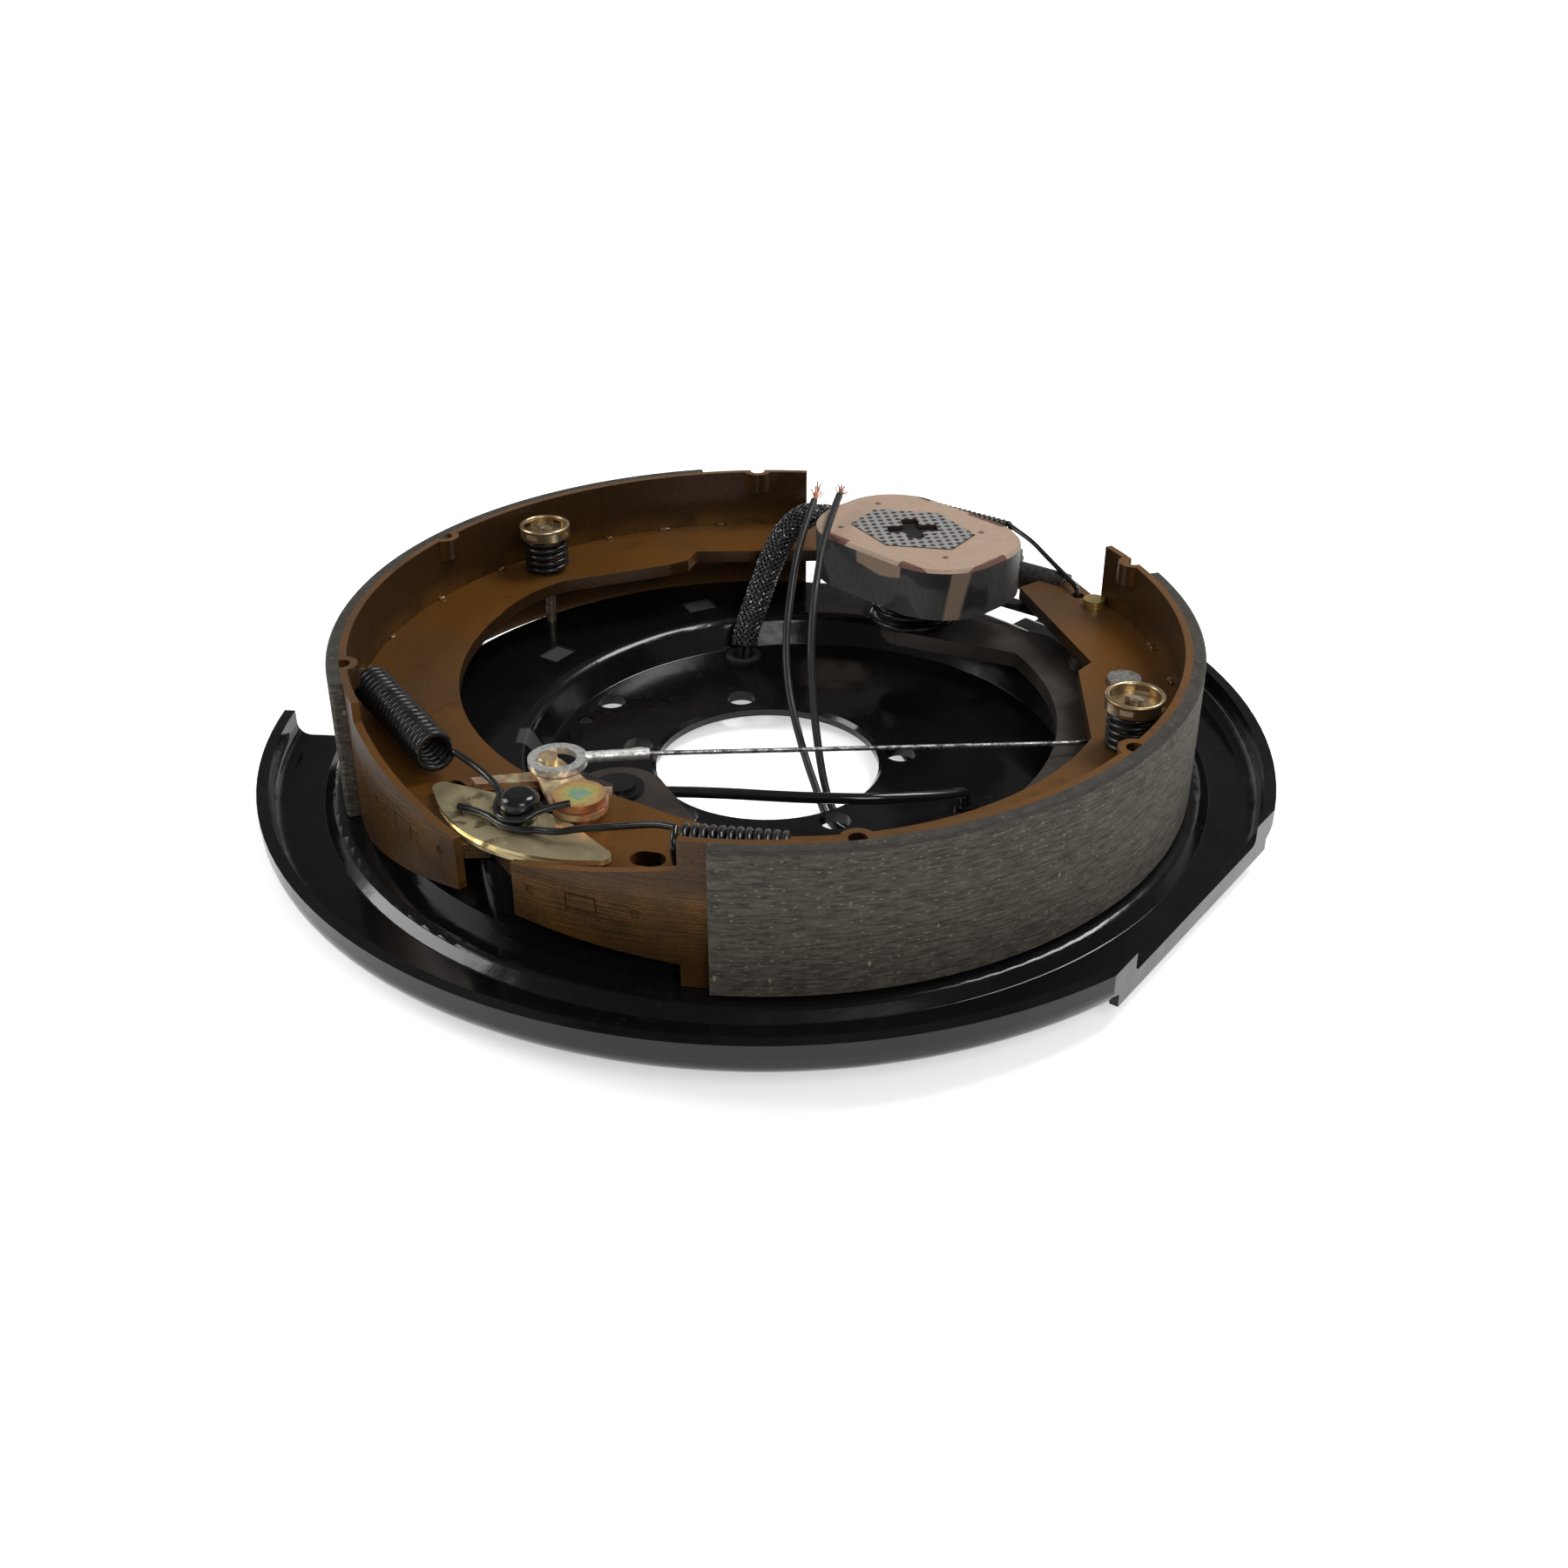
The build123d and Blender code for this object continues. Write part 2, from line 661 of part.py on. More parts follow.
def primary_web():
    """Crescent web with the adjuster end, the anchor notch and its holes."""
    seat = polar(anchor_seat_radius, -55, anchor)
    contact = block_x + block_width / 2 + block_play
    edge = [
        Line(seat, (contact, 112)),
        Line((contact, 112), (contact, 99.5)),
        Line((contact, 99.5), (23.7, 100.7)),
        ThreePointArc((23.7, 100.7), (82.4, 71.8), (113.9, 18.6)),
        ThreePointArc((113.9, 18.6), (117.8, 0.0), (115.5, -19.0)),
        Line((115.5, -19.0), (91.8, -56.7)),
        Line((91.8, -56.7), (88.9, -64.4)),
        Line((88.9, -64.4), (91.7, -73.5)),
        Line((91.7, -73.5), (primary_web_end_x - 3.5, -116.4)),
        Line((primary_web_end_x - 3.5, -116.4), (primary_web_end_x + 2.6, -145.0)),
        Line((primary_web_end_x + 2.6, -145.0), polar(rim_inner, primary_rim_span[0])),
        ThreePointArc(polar(rim_inner, primary_rim_span[0]), polar(rim_inner, 15), polar(rim_inner, primary_tongue_end)),
        Line(polar(rim_inner, primary_tongue_end), (web_gap, 139)),
        Line((web_gap, 139), (web_gap, anchor[1])),
        Line((web_gap, anchor[1]), seat),
    ]
    web = Pos(0, 0, web_bottom) * extrude(make_face(edge), web_thickness)
    web -= disc(anchor_seat_radius + anchor_seat_clearance, 0, shoe_top, anchor)
    web -= disc(web_hole_radius, 0, shoe_top, hold_down_places()[0])
    web -= slot(11.5, 7.0, 0, shoe_top, primary_oval_hole, -17)
    web -= disc(spring_hole_radius, 0, shoe_top, primary_spring_hole)
    web -= disc(spring_hole_radius, 0, shoe_top, mirror_x(adjuster_spring_hole))
    return web


def secondary_web():
    seat = polar(anchor_seat_radius, 228, anchor)
    contact = block_x - block_width / 2 - block_play
    edge = [
        Line(seat, (contact, 112)),
        Line((contact, 112), (contact, 94.6)),
        Line((contact, 94.6), (-32.3, 92.8)),
        Line((-32.3, 92.8), (-56.9, 89.2)),
        ThreePointArc((-56.9, 89.2), (-104.4, 39.4), (-114.6, -29.2)),
        Line((-114.6, -29.2), (-87.3, -70.8)),
        Line((-87.3, -70.8), (-87.8, -79.8)),
        Line((-87.8, -79.8), (secondary_web_end_x + 4.5, -121.7)),
        Line((secondary_web_end_x + 4.5, -121.7), (secondary_web_end_x - 2.6, -145.2)),
        Line((secondary_web_end_x - 2.6, -145.2), polar(rim_inner, secondary_rim_span[1])),
        ThreePointArc(polar(rim_inner, secondary_rim_span[1]), polar(rim_inner, 170),
                      polar(rim_inner, secondary_tongue_end)),
        Line(polar(rim_inner, secondary_tongue_end), (-web_gap, 139)),
        Line((-web_gap, 139), (-web_gap, anchor[1])),
        Line((-web_gap, anchor[1]), seat),
    ]
    web = Pos(0, 0, web_bottom) * extrude(make_face(edge), web_thickness)
    web -= disc(anchor_seat_radius + anchor_seat_clearance, 0, shoe_top, anchor)
    web -= disc(web_hole_radius, 0, shoe_top, hold_down_places()[1])
    web -= slot(11.0, 8.0, 0, shoe_top, secondary_oval_hole, 25)
    web -= disc(spring_hole_radius, 0, shoe_top, secondary_spring_hole)
    web -= disc(spring_hole_radius, 0, shoe_top, adjuster_spring_hole)
    web -= disc(lever_pin_radius, 0, shoe_top, lever_pin)
    web -= disc(rivet_radius, 0, shoe_top, guide_centre)
    web -= disc(rivet_radius, 0, shoe_top, adjuster_lever_pivot)
    return web


def mirror_x(place):
    return (-place[0],) + tuple(place[1:])


def hold_down_pin(at):
    """Nail with its head under the plate and a flattened tip over the cup."""
    head_top = ring_top - plate_thickness
    pin = disc(pin_head_radius, head_top - pin_head_thickness, head_top, at)
    pin += disc(pin_radius, head_top - 0.5, cup_top - cup_depth + cup_sheet + 2.2, at)
    tip = Pos(at[0], at[1], cup_top - cup_depth + cup_sheet + 1.4) * Box(6.4, 1.8, 2.0)
    return pin + tip


def hold_down_spring(at):
    """Open coil between web and cup."""
    bottom = web_top + hold_spring_wire / 2 + 0.15
    top = cup_top - cup_depth - hold_spring_wire / 2 - 0.15
    height = top - bottom
    path = Helix(height / hold_spring_turns, height, hold_spring_radius)
    section = Plane(origin=path @ 0, z_dir=path % 0) * Circle(hold_spring_wire / 2)
    return Pos(at[0], at[1], bottom) * sweep(section, path=path, is_frenet=True)


def hold_down_cup(at):
    """Pressed cup with a slot for the nail's tip."""
    floor = cup_top - cup_depth
    rim_top = ring(cup_radius, cup_radius - cup_sheet, floor, cup_top, at)
    base = disc(cup_radius, floor, floor + cup_sheet, at)
    brim = Pos(at[0], at[1], cup_top - 0.5) * Torus(cup_radius - cup_sheet / 2, cup_sheet * 0.7)
    hole = disc(pin_radius + 0.3, 0, cup_top, at)
    for turn in (10, 100):
        window = Rot(0, 0, turn) * Box(3 * cup_radius, cup_window_width, cup_window_height)
        rim_top -= Pos(at[0], at[1], floor + cup_sheet + cup_window_height / 2) * window
    return rim_top + base + brim - hole


def return_spring(coil_ends, routes):
    """Tension spring: a close coil with a wire from each of its ends."""
    start = Vector(*coil_ends[0], spring_level)
    end = Vector(*coil_ends[1], spring_level)
    axis = Plane(origin=start, z_dir=(end - start).normalized())
    section = Circle(spring_coil_radius) - Circle(spring_coil_radius - spring_wire - 0.4)
    spring = axis * extrude(section, (end - start).length)
    for route in routes:
        spring += tube(route, spring_wire / 2)
    return spring


def coil_turn(coil, along, angle):
    """Middle of the wire of a coil's turn, at a distance from its first end and an angle round its axis."""
    start = Vector(*coil[0], spring_level)
    run = (Vector(*coil[1], spring_level) - start).normalized()
    side = Vector(-run.Y, run.X, 0)
    reach = spring_coil_radius - spring_wire / 2 - 0.2
    place = start + run * along + side * (reach * cos(radians(angle)))
    return place.X, place.Y, place.Z + reach * sin(radians(angle))


def web_hook(coil, hole):
    """Wire from a coil's last turn down through a hole in the web."""
    length = hypot(coil[1][0] - coil[0][0], coil[1][1] - coil[0][1])
    begin = coil_turn(coil, length - 1.5, -90)
    return [begin, (hole[0], hole[1] - 0.1, begin[2]), (hole[0], hole[1], web_bottom - 1.5)]


def primary_return_spring():
    level = upper_loop_level
    wire = [
        (-14.0, 118.2, 47.7),
        (-7.9, 125.0, 46.8),
        (-6.5, 131.0, level),
        (1.0, 133.2, level),
        (6.8, 129.2, level),
        (10.8, 123.5, level),
        (19.7, 119.8, level + 0.3),
        (29.0, 116.6, level + 0.8),
        coil_turn(primary_coil, 1.6, -160),
    ]
    return return_spring(primary_coil, [wire, web_hook(primary_coil, primary_spring_hole)])


def secondary_return_spring():
    level = lower_loop_level
    wire = [
        (19.0, 133.6, level),
        (9.5, 131.6, level),
        (1.0, 133.4, level),
        (-9.0, 130.9, level),
        (-18.4, 125.3, level),
        (-21.8, 118.5, level),
        (-27.5, 111.0, level),
        (-38.0, 105.8, level + 1.5),
        coil_turn(secondary_coil, 1.6, 160),
    ]
    return return_spring(secondary_coil, [wire, web_hook(secondary_coil, secondary_spring_hole)])


def parking_lever_pin():
    """Large plated disc head on a stepped shank through lever and web."""
    pin = disc(lever_pin_radius, web_bottom - 1.5, lever_top + 0.2, lever_pin)
    pin += disc(lever_pin_radius + 2.0, web_top, lever_bottom - 0.1, lever_pin)
    pin += disc(lever_disc_radius - 0.8, lever_top + 0.1, lever_top + 0.5, lever_pin)
    return pin + disc(lever_disc_radius, lever_top + 0.5, lever_top + 0.5 + lever_disc_thickness, lever_pin)


def parking_lever():
    """Plated bell crank on the secondary web, with the pin that holds the cable's eye."""
    plate = bridge(lever_pin, eye_pin, lever_arm_radius, 5.2, lever_bottom, lever_top)
    corner = [(-18.5, 108.0), (-14.5, 116.0), (-7.5, 115.5), (-4.0, 104.0), (-12.5, 97.5)]
    plate += outline(corner, lever_bottom, lever_top)
    plate -= disc(lever_pin_radius + 0.05, 0, shoe_top, lever_pin)
    return plate + disc(eye_pin_radius, lever_top, eye_bottom + eye_thickness + 1.2, eye_pin)


def parking_strut():
    """Plated bar from the lever to a notch in the primary web."""
    corners = [(26.3, 119.0), (30.6, 117.0), (15.7, 100.7), (9.8, 104.0)]
    return outline(corners, web_top + 0.3, web_top + 0.3 + 2.5)


def cable_guide():
    """Grooved sector under the secondary web that turns the cable towards the adjuster."""
    bottom = cable_height - 2.2
    top = web_bottom - 0.1
    body = disc(cable_guide_radius + 1.4, bottom, top, guide_centre)
    groove = Pos(guide_centre[0], guide_centre[1], cable_height) * Torus(cable_guide_radius + 1.6, 1.15)
    return body - groove - disc(rivet_radius, 0, shoe_top, guide_centre)


def cable_guide_rivet():
    rivet = disc(rivet_radius, cable_height - 3.2, web_top + 0.5, guide_centre)
    rivet += disc(rivet_head_radius, cable_height - 3.2, cable_height - 2.2, guide_centre)
    return rivet + disc(guide_rivet_radius, web_top, web_top + 1.8, guide_centre)


def adjuster_lever():
    """Pawl lever under the secondary web, from the cable's end to the star wheel."""
    bottom = adjuster_lever_top - adjuster_lever_thickness
    plate = bridge(adjuster_lever_pivot, (-78.0, -92.0), adjuster_lever_radius, 5.0, bottom, adjuster_lever_top)
    plate += bridge(adjuster_lever_pivot, (-23.6, -122.6), adjuster_lever_radius, 2.6, bottom, adjuster_lever_top)
    plate += disc(4.2, adjuster_lever_top - 1, web_bottom - 0.6, (-78.0, -92.0))
    return plate - disc(rivet_radius + 0.06, 0, shoe_top, adjuster_lever_pivot)


def adjuster_lever_rivet():
    low = adjuster_lever_top - adjuster_lever_thickness - 0.2
    rivet = disc(rivet_radius, low, web_top + 0.5, adjuster_lever_pivot)
    rivet += disc(rivet_head_radius, low - 1.4, low, adjuster_lever_pivot)
    rivet += ring(rivet_head_radius, rivet_radius, adjuster_lever_top + 0.2, web_bottom, adjuster_lever_pivot)
    return rivet + disc(rivet_head_radius, web_top, web_top + 3.0, adjuster_lever_pivot)


rope_start = (1.2, 90.2)
rope_exit = (-107.5, -38.0)


def cable_direction():
    return degrees(atan2(rope_exit[1] - rope_start[1], rope_exit[0] - rope_start[0]))


def eye_centre():
    """The eye hangs on its pin, pulled towards the rope."""
    slack = eye_hole_radius - eye_pin_radius - 0.05
    return polar(slack, cable_direction(), eye_pin)


def cable_eye():
    """Flat eyelet pressed on to a crimped ferrule."""
    at = eye_centre()
    angle = cable_direction()
    eye = ring(eye_radius, eye_hole_radius, eye_bottom, eye_bottom + eye_thickness, at)
    near = polar(eye_radius - 0.8, angle, at)
    far = polar(eye_radius + ferrule_length, angle, at)
    middle = eye_bottom + eye_thickness / 2
    direction = Vector(far[0] - near[0], far[1] - near[1], -1.2)
    start = Plane(origin=(near[0], near[1], middle), z_dir=direction)
    barrel = start * extrude(Circle(ferrule_radius), direction.length)
    return eye + barrel


def rope_route():
    at = eye_centre()
    tip = polar(eye_radius + ferrule_length, cable_direction(), at)
    wrap = cable_guide_radius + 2.2
    return [
        (tip[0] - 0.1, tip[1] - 0.1, eye_bottom + eye_thickness / 2 - 1.2),
        (rope_exit[0], rope_exit[1], cable_height),
        (guide_centre[0] - wrap * 1.02, guide_centre[1] + wrap * 0.35, cable_height),
        (guide_centre[0] - wrap * 0.80, guide_centre[1] - wrap * 0.95, cable_height),
        (-86.0, -93.5, cable_height),
    ]


def adjuster_cable():
    return tube(rope_route(), rope_radius)


def star_wheel_screw():
    """Threaded screw with a toothed wheel and a plain stub for the socket."""
    half = star_thickness / 2
    wheel = along_x(star_radius, star_x - half, star_x + half)
    step = 360 / star_teeth
    for index in range(star_teeth):
        angle = index * step
        at_y = adjuster_y + (star_radius + 0.6) * cos(radians(angle))
        at_z = web_middle + (star_radius + 0.6) * sin(radians(angle))
        wheel -= along_x(star_tooth_depth * 0.62, star_x - half - 1, star_x + half + 1, at_y, at_z)
    screw = along_x(screw_radius, star_x, screw_end_x)
    return wheel + screw + along_x(stub_radius, star_x - half - 16, star_x)


def fork(cylinder, web_end_x, outward):
    """Slot across a round end that takes the web's edge."""
    reach = fork_reach + 6
    middle = web_end_x + outward * reach / 2
    gap = web_thickness + 2 * fork_gap
    return cylinder - Pos(middle, adjuster_y, web_middle) * Box(reach, 4 * nut_radius, gap)


def adjuster_socket():
    near = star_x - star_thickness / 2 - washer_gap - washer_thickness
    far = secondary_web_end_x - fork_reach
    body = along_x(socket_radius, far, near)
    body -= along_x(stub_radius + thread_gap, secondary_web_end_x + 2.0, near + 1)
    return fork(body, secondary_web_end_x + fork_gap + 1.6, -1)


def adjuster_nut():
    far = primary_web_end_x + fork_reach
    body = along_x(nut_radius, nut_start_x, far)
    body -= along_x(screw_radius + thread_gap, nut_start_x - 1, screw_end_x + 3.6)
    return fork(body, primary_web_end_x - fork_gap - 1.6, 1)


def adjuster_washer():
    near = star_x - star_thickness / 2 - washer_gap
    ring_body = along_x(socket_radius + 0.6, near - washer_thickness, near)
    return ring_body - along_x(stub_radius + thread_gap, near - 3, near + 1)


def adjuster_spring():
    """Spring across both webs, outside the star wheel."""
    level = web_top + 6.5
    y = adjuster_y - 18.0
    coil = along_x(4.6, -8.0, 30.0, y, level) - along_x(2.4, -9.0, 31.0, y, level)
    hook = adjuster_spring_hole
    left = [
        (-7.0, y + 3.4, level),
        (-22.0, y + 5.0, level + 1.5),
        (-44.0, -136.5, level - 1.5),
        (hook[0], hook[1], web_top + 0.5),
        (hook[0] - 0.5, hook[1] + 0.3, web_bottom - 1.5),
    ]
    right = [
        (29.0, y + 3.4, level),
        (40.0, y + 6.0, level + 0.4),
        (50.5, -134.0, level + 0.5),
        (-hook[0], hook[1], web_top + 0.5),
        (-hook[0] + 0.5, hook[1] + 0.3, web_bottom - 1.5),
    ]
    return coil + tube(left, 1.0) + tube(right, 1.0)


def lead_grommet():
    """Rubber ring in the plate's hole for the leads, with a flange on each side."""
    wide = grommet_hole_radius + grommet_lip
    body = disc(grommet_hole_radius, -grommet_back_lip, plate_thickness + grommet_lip, grommet_place)
    body += disc(wide, plate_thickness, plate_thickness + grommet_lip, grommet_place)
    body += disc(wide, -grommet_back_lip, 0, grommet_place)
    return body - disc(grommet_bore, -grommet_back_lip - 1, ring_top, grommet_place)


def adjuster_slot_plug():
    """Rubber plug in the second adjuster slot."""
    at = (plugged_slot_x, -slot_distance)
    top = slot(slot_length + 2 * plug_lip, slot_width + 2 * plug_lip, ring_top, ring_top + 1.5, at)
    body = slot(slot_length, slot_width, ring_top - plate_thickness, ring_top, at)
    tail = slot(slot_length + plug_lip, slot_width + plug_lip, ring_top - plate_thickness - 2,
                ring_top - plate_thickness, at)
    return top + body + tail


def strands(route):
    """Stripped copper end that carries on from a lead."""
    end = Vector(*route[-1])
    direction = (end - Vector(*route[-2])).normalized()
    return Plane(origin=end, z_dir=direction) * extrude(Circle(strand_radius), strand_length)


def lead_tubes(route):
    """A lead as two tubes: under the plate, and from there up through the bore to its end."""
    radii = bend_radii(route)
    corner = lead_rise_corner
    middle = tuple((a + b) / 2 for a, b in zip(route[corner], route[corner + 1]))
    under = tube(route[:corner + 1] + [middle], lead_radius, radii[:corner])
    rising = tube([middle] + route[corner + 1:], lead_radius, radii[corner:])
    return under, rising


def lead_sleeve():
    path = FilletPolyline(*sleeve_route, radius=bend_radii(sleeve_route))
    section = Plane(origin=path @ 0, z_dir=path % 0) * (Circle(sleeve_radius) - Circle(sleeve_bore))
    return sweep(section, path=path)


def nodes():
    """Every piece of the brake, by node name."""
    primary_place, secondary_place = hold_down_places()
    first_under, first_rising = lead_tubes(first_lead_route)
    second_under, second_rising = lead_tubes(second_lead_route)
    return {
        "backing_plate": backing_plate(),
        "anchor_post": anchor_post(),
        "shoe_guide_plate": shoe_guide_plate(),
        "arm_pivot_post": arm_pivot_post(),
        "arm_return_spring": arm_return_spring(),
        "actuating_arm": actuating_arm(),
        "magnet_post": magnet_post(),
        "magnet_spring": magnet_spring(),
        "magnet_case": magnet_case(),
        "magnet_pole": magnet_pole(),
        "primary_rim": rim(primary_rim_span, primary_tongue_end, primary_tongue_root, primary_tab_angle,
                           primary_dimples, primary_nibs),
        "primary_web": primary_web(),
        "primary_lining": lining(primary_lining_span),
        "secondary_rim": rim(secondary_rim_span, secondary_tongue_end, secondary_tongue_root,
                             secondary_tab_angle, secondary_dimples, secondary_nibs),
        "secondary_web": secondary_web(),
        "secondary_lining": lining(secondary_lining_span),
        "primary_hold_down_pin": hold_down_pin(primary_place),
        "secondary_hold_down_pin": hold_down_pin(secondary_place),
        "primary_hold_down_spring": hold_down_spring(primary_place),
        "secondary_hold_down_spring": hold_down_spring(secondary_place),
        "primary_hold_down_cup": hold_down_cup(primary_place),
        "secondary_hold_down_cup": hold_down_cup(secondary_place),
        "primary_return_spring": primary_return_spring(),
        "secondary_return_spring": secondary_return_spring(),
        "parking_lever_pin": parking_lever_pin(),
        "parking_lever": parking_lever(),
        "parking_strut": parking_strut(),
        "cable_guide": cable_guide(),
        "cable_guide_rivet": cable_guide_rivet(),
        "adjuster_lever": adjuster_lever(),
        "adjuster_lever_rivet": adjuster_lever_rivet(),
        "cable_eye": cable_eye(),
        "adjuster_cable": adjuster_cable(),
        "star_wheel_screw": star_wheel_screw(),
        "adjuster_socket": adjuster_socket(),
        "adjuster_nut": adjuster_nut(),
        "adjuster_washer": adjuster_washer(),
        "adjuster_spring": adjuster_spring(),
        "lead_grommet": lead_grommet(),
        "adjuster_slot_plug": adjuster_slot_plug(),
        "lead_sleeve": lead_sleeve(),
        "first_lead": first_rising,
        "second_lead": second_rising,
        "first_lead_under_plate": first_under,
        "second_lead_under_plate": second_under,
        "first_lead_strands": strands(first_lead_route),
        "second_lead_strands": strands(second_lead_route),
    }


def main():
    os.makedirs("parts", exist_ok=True)
    for name, solid in nodes().items():
        export_step(solid, "parts/" + name + ".step")
    for name, route in (("first lead", first_lead_route), ("second lead", second_lead_route),
                        ("sleeve", sleeve_route)):
        print(name, "bend radii", [round(radius, 1) for radius in bend_radii(route)])


main()
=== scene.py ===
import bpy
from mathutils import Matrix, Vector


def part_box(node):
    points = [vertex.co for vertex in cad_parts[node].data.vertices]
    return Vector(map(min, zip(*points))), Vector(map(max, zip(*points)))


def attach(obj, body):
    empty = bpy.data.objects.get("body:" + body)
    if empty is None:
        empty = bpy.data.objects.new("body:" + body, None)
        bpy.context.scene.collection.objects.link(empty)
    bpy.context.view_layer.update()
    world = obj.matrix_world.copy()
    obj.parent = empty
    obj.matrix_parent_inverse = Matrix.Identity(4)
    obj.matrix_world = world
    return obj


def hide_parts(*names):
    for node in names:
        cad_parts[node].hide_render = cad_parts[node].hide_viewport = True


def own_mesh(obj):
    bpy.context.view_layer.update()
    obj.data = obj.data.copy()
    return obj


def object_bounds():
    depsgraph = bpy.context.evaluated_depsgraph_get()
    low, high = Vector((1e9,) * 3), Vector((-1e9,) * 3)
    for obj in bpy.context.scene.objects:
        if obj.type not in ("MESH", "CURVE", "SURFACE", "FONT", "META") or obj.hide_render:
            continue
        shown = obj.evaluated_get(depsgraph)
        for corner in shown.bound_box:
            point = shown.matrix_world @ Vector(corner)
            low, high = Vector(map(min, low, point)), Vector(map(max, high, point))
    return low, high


bl_info = {
    "name": "Electric Drum Brake",
    "version": (1, 0, 0),
    "blender": (4, 5, 0),
    "location": "3D View > Sidebar > Drum Brake",
    "description": "Springs, leads, rope and finishes for a packed electric drum brake",
    "category": "Object",
}

import random
from math import cos, pi, radians, sin

import bpy
from mathutils import Matrix, Vector

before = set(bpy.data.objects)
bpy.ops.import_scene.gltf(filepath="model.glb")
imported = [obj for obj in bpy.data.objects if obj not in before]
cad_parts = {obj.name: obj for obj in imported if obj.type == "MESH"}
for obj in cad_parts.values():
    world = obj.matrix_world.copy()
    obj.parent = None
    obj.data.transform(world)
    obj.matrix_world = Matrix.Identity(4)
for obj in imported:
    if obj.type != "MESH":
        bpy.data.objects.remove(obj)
cad_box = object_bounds()

# Routes of the cords in metres, the same points as in the part's source
SLEEVE_ROUTE = [
    (0.0376, -0.1046, 0.0520),
    (0.0470, -0.1068, 0.0540),
    (0.0560, -0.1040, 0.0535),
    (0.0615, -0.0970, 0.0485),
    (0.0630, -0.0885, 0.0395),
    (0.0628, -0.0805, 0.0285),
    (0.0616, -0.0725, 0.0195),
    (0.0604, -0.0657, 0.0133),
    (0.0589, -0.0627, 0.0078),
]
FIRST_LEAD_ROUTE = [
    (0.0592, -0.0664, 0.0145),
    (0.0566, -0.0616, 0.0060),
    (0.0565, -0.0609, -0.0034),
    (0.0495, -0.0555, -0.0035),
    (0.0400, -0.0525, -0.0034),
    (0.0220, -0.0570, -0.0034),
    (0.0000, -0.0600, -0.0034),
    (-0.0250, -0.0550, -0.0034),
    (-0.0460, -0.0410, -0.0034),
    (-0.0590, -0.0200, -0.0034),
    (-0.0615, -0.0020, -0.0034),
    (-0.0560, 0.0110, -0.0034),
    (-0.0450, 0.0160, -0.0034),
    (-0.0350, 0.0116, -0.0032),
    (-0.0270, 0.0065, 0.0030),
    (-0.0180, 0.0005, 0.0095),
    (-0.0070, -0.0090, 0.0145),
    (0.0055, -0.0205, 0.0215),
    (0.0160, -0.0325, 0.0325),
    (0.0265, -0.0500, 0.0450),
    (0.0395, -0.0740, 0.0560),
    (0.0480, -0.0955, 0.0635),
]
SECOND_LEAD_ROUTE = [
    (0.0622, -0.0660, 0.0145),
    (0.0601, -0.0616, 0.0060),
    (0.0600, -0.0609, -0.0034),
    (0.0545, -0.0525, -0.0035),
    (0.0445, -0.0470, -0.0034),
    (0.0250, -0.0515, -0.0034),
    (0.0020, -0.0555, -0.0034),
    (-0.0220, -0.0505, -0.0034),
    (-0.0420, -0.0370, -0.0034),
    (-0.0545, -0.0180, -0.0034),
    (-0.0570, -0.0025, -0.0034),
    (-0.0520, 0.0080, -0.0034),
    (-0.0430, 0.0110, -0.0034),
    (-0.0335, 0.0062, -0.0032),
    (-0.0260, 0.0010, 0.0040),
    (-0.0190, -0.0050, 0.0140),
    (-0.0105, -0.0135, 0.0270),
    (-0.0025, -0.0230, 0.0425),
    (0.0060, -0.0375, 0.0565),
    (0.0215, -0.0655, 0.0668),
    (0.0340, -0.0930, 0.0698),
]


# Radius of the shoe tables' outer face, and of the corner between web and table
TABLE_OUTSIDE = 0.1472
TABLE_CORNER = 0.1440

# Black of the thick sprung wire and the posts
WIRE_BLACK = (0.0075, 0.0075, 0.008, 1)


def size_value(name, description, default):
    """A size in metres for the panel."""
    return bpy.props.FloatProperty(name=name, description=description, default=default, unit="LENGTH")


def count_value(name, description, default):
    return bpy.props.IntProperty(name=name, description=description, default=default)


def colour_value(name, description, default):
    return bpy.props.FloatVectorProperty(
        name=name, description=description, default=default + (1,), size=4, subtype="COLOR")


class BrakeSizes(bpy.types.PropertyGroup):
    """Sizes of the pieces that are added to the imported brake."""

    return_wire: size_value("Return spring wire", "Wire diameter of the two return springs", 0.0023)
    return_coil: size_value("Return spring coil", "Outer radius of the return springs' coils", 0.0070)
    primary_turns: count_value("Primary turns", "Turns of the primary return spring", 19)
    secondary_turns: count_value("Secondary turns", "Turns of the secondary return spring", 13)
    arm_wire: size_value("Arm spring wire", "Wire diameter of the magnet arm's return spring", 0.0040)
    rope_strand: size_value("Rope strand", "Radius of one strand of the adjuster rope", 0.00034)
    rope_lay: size_value("Rope lay", "Length in which a strand of the rope goes round once", 0.0065)
    braid_threads: count_value("Braid threads", "Threads each way round the braided sleeve", 14)
    lead_radius: size_value("Lead radius", "Radius of an insulated lead", 0.00145)


class BrakeColours(bpy.types.PropertyGroup):
    """Base colours of the brake's finishes."""

    paint: colour_value("Plate paint", "Gloss black of the backing plate", (0.0032, 0.0033, 0.0036))
    shoe: colour_value("Shoe lacquer", "Bronze lacquer of the shoes", (0.095, 0.046, 0.0145))
    shoe_amber: colour_value("Thick lacquer", "Lacquer where it ran together", (0.140, 0.055, 0.007))
    lining: colour_value("Lining", "Ground surface of the friction lining", (0.080, 0.070, 0.056))
    resin: colour_value("Magnet face", "Sanded resin of the magnet's wear face", (0.305, 0.222, 0.162))
    zinc: colour_value("Yellow zinc", "Yellow zinc plating", (0.850, 0.730, 0.430))
    copper: colour_value("Copper", "Bare copper of the leads' strands", (0.400, 0.150, 0.078))


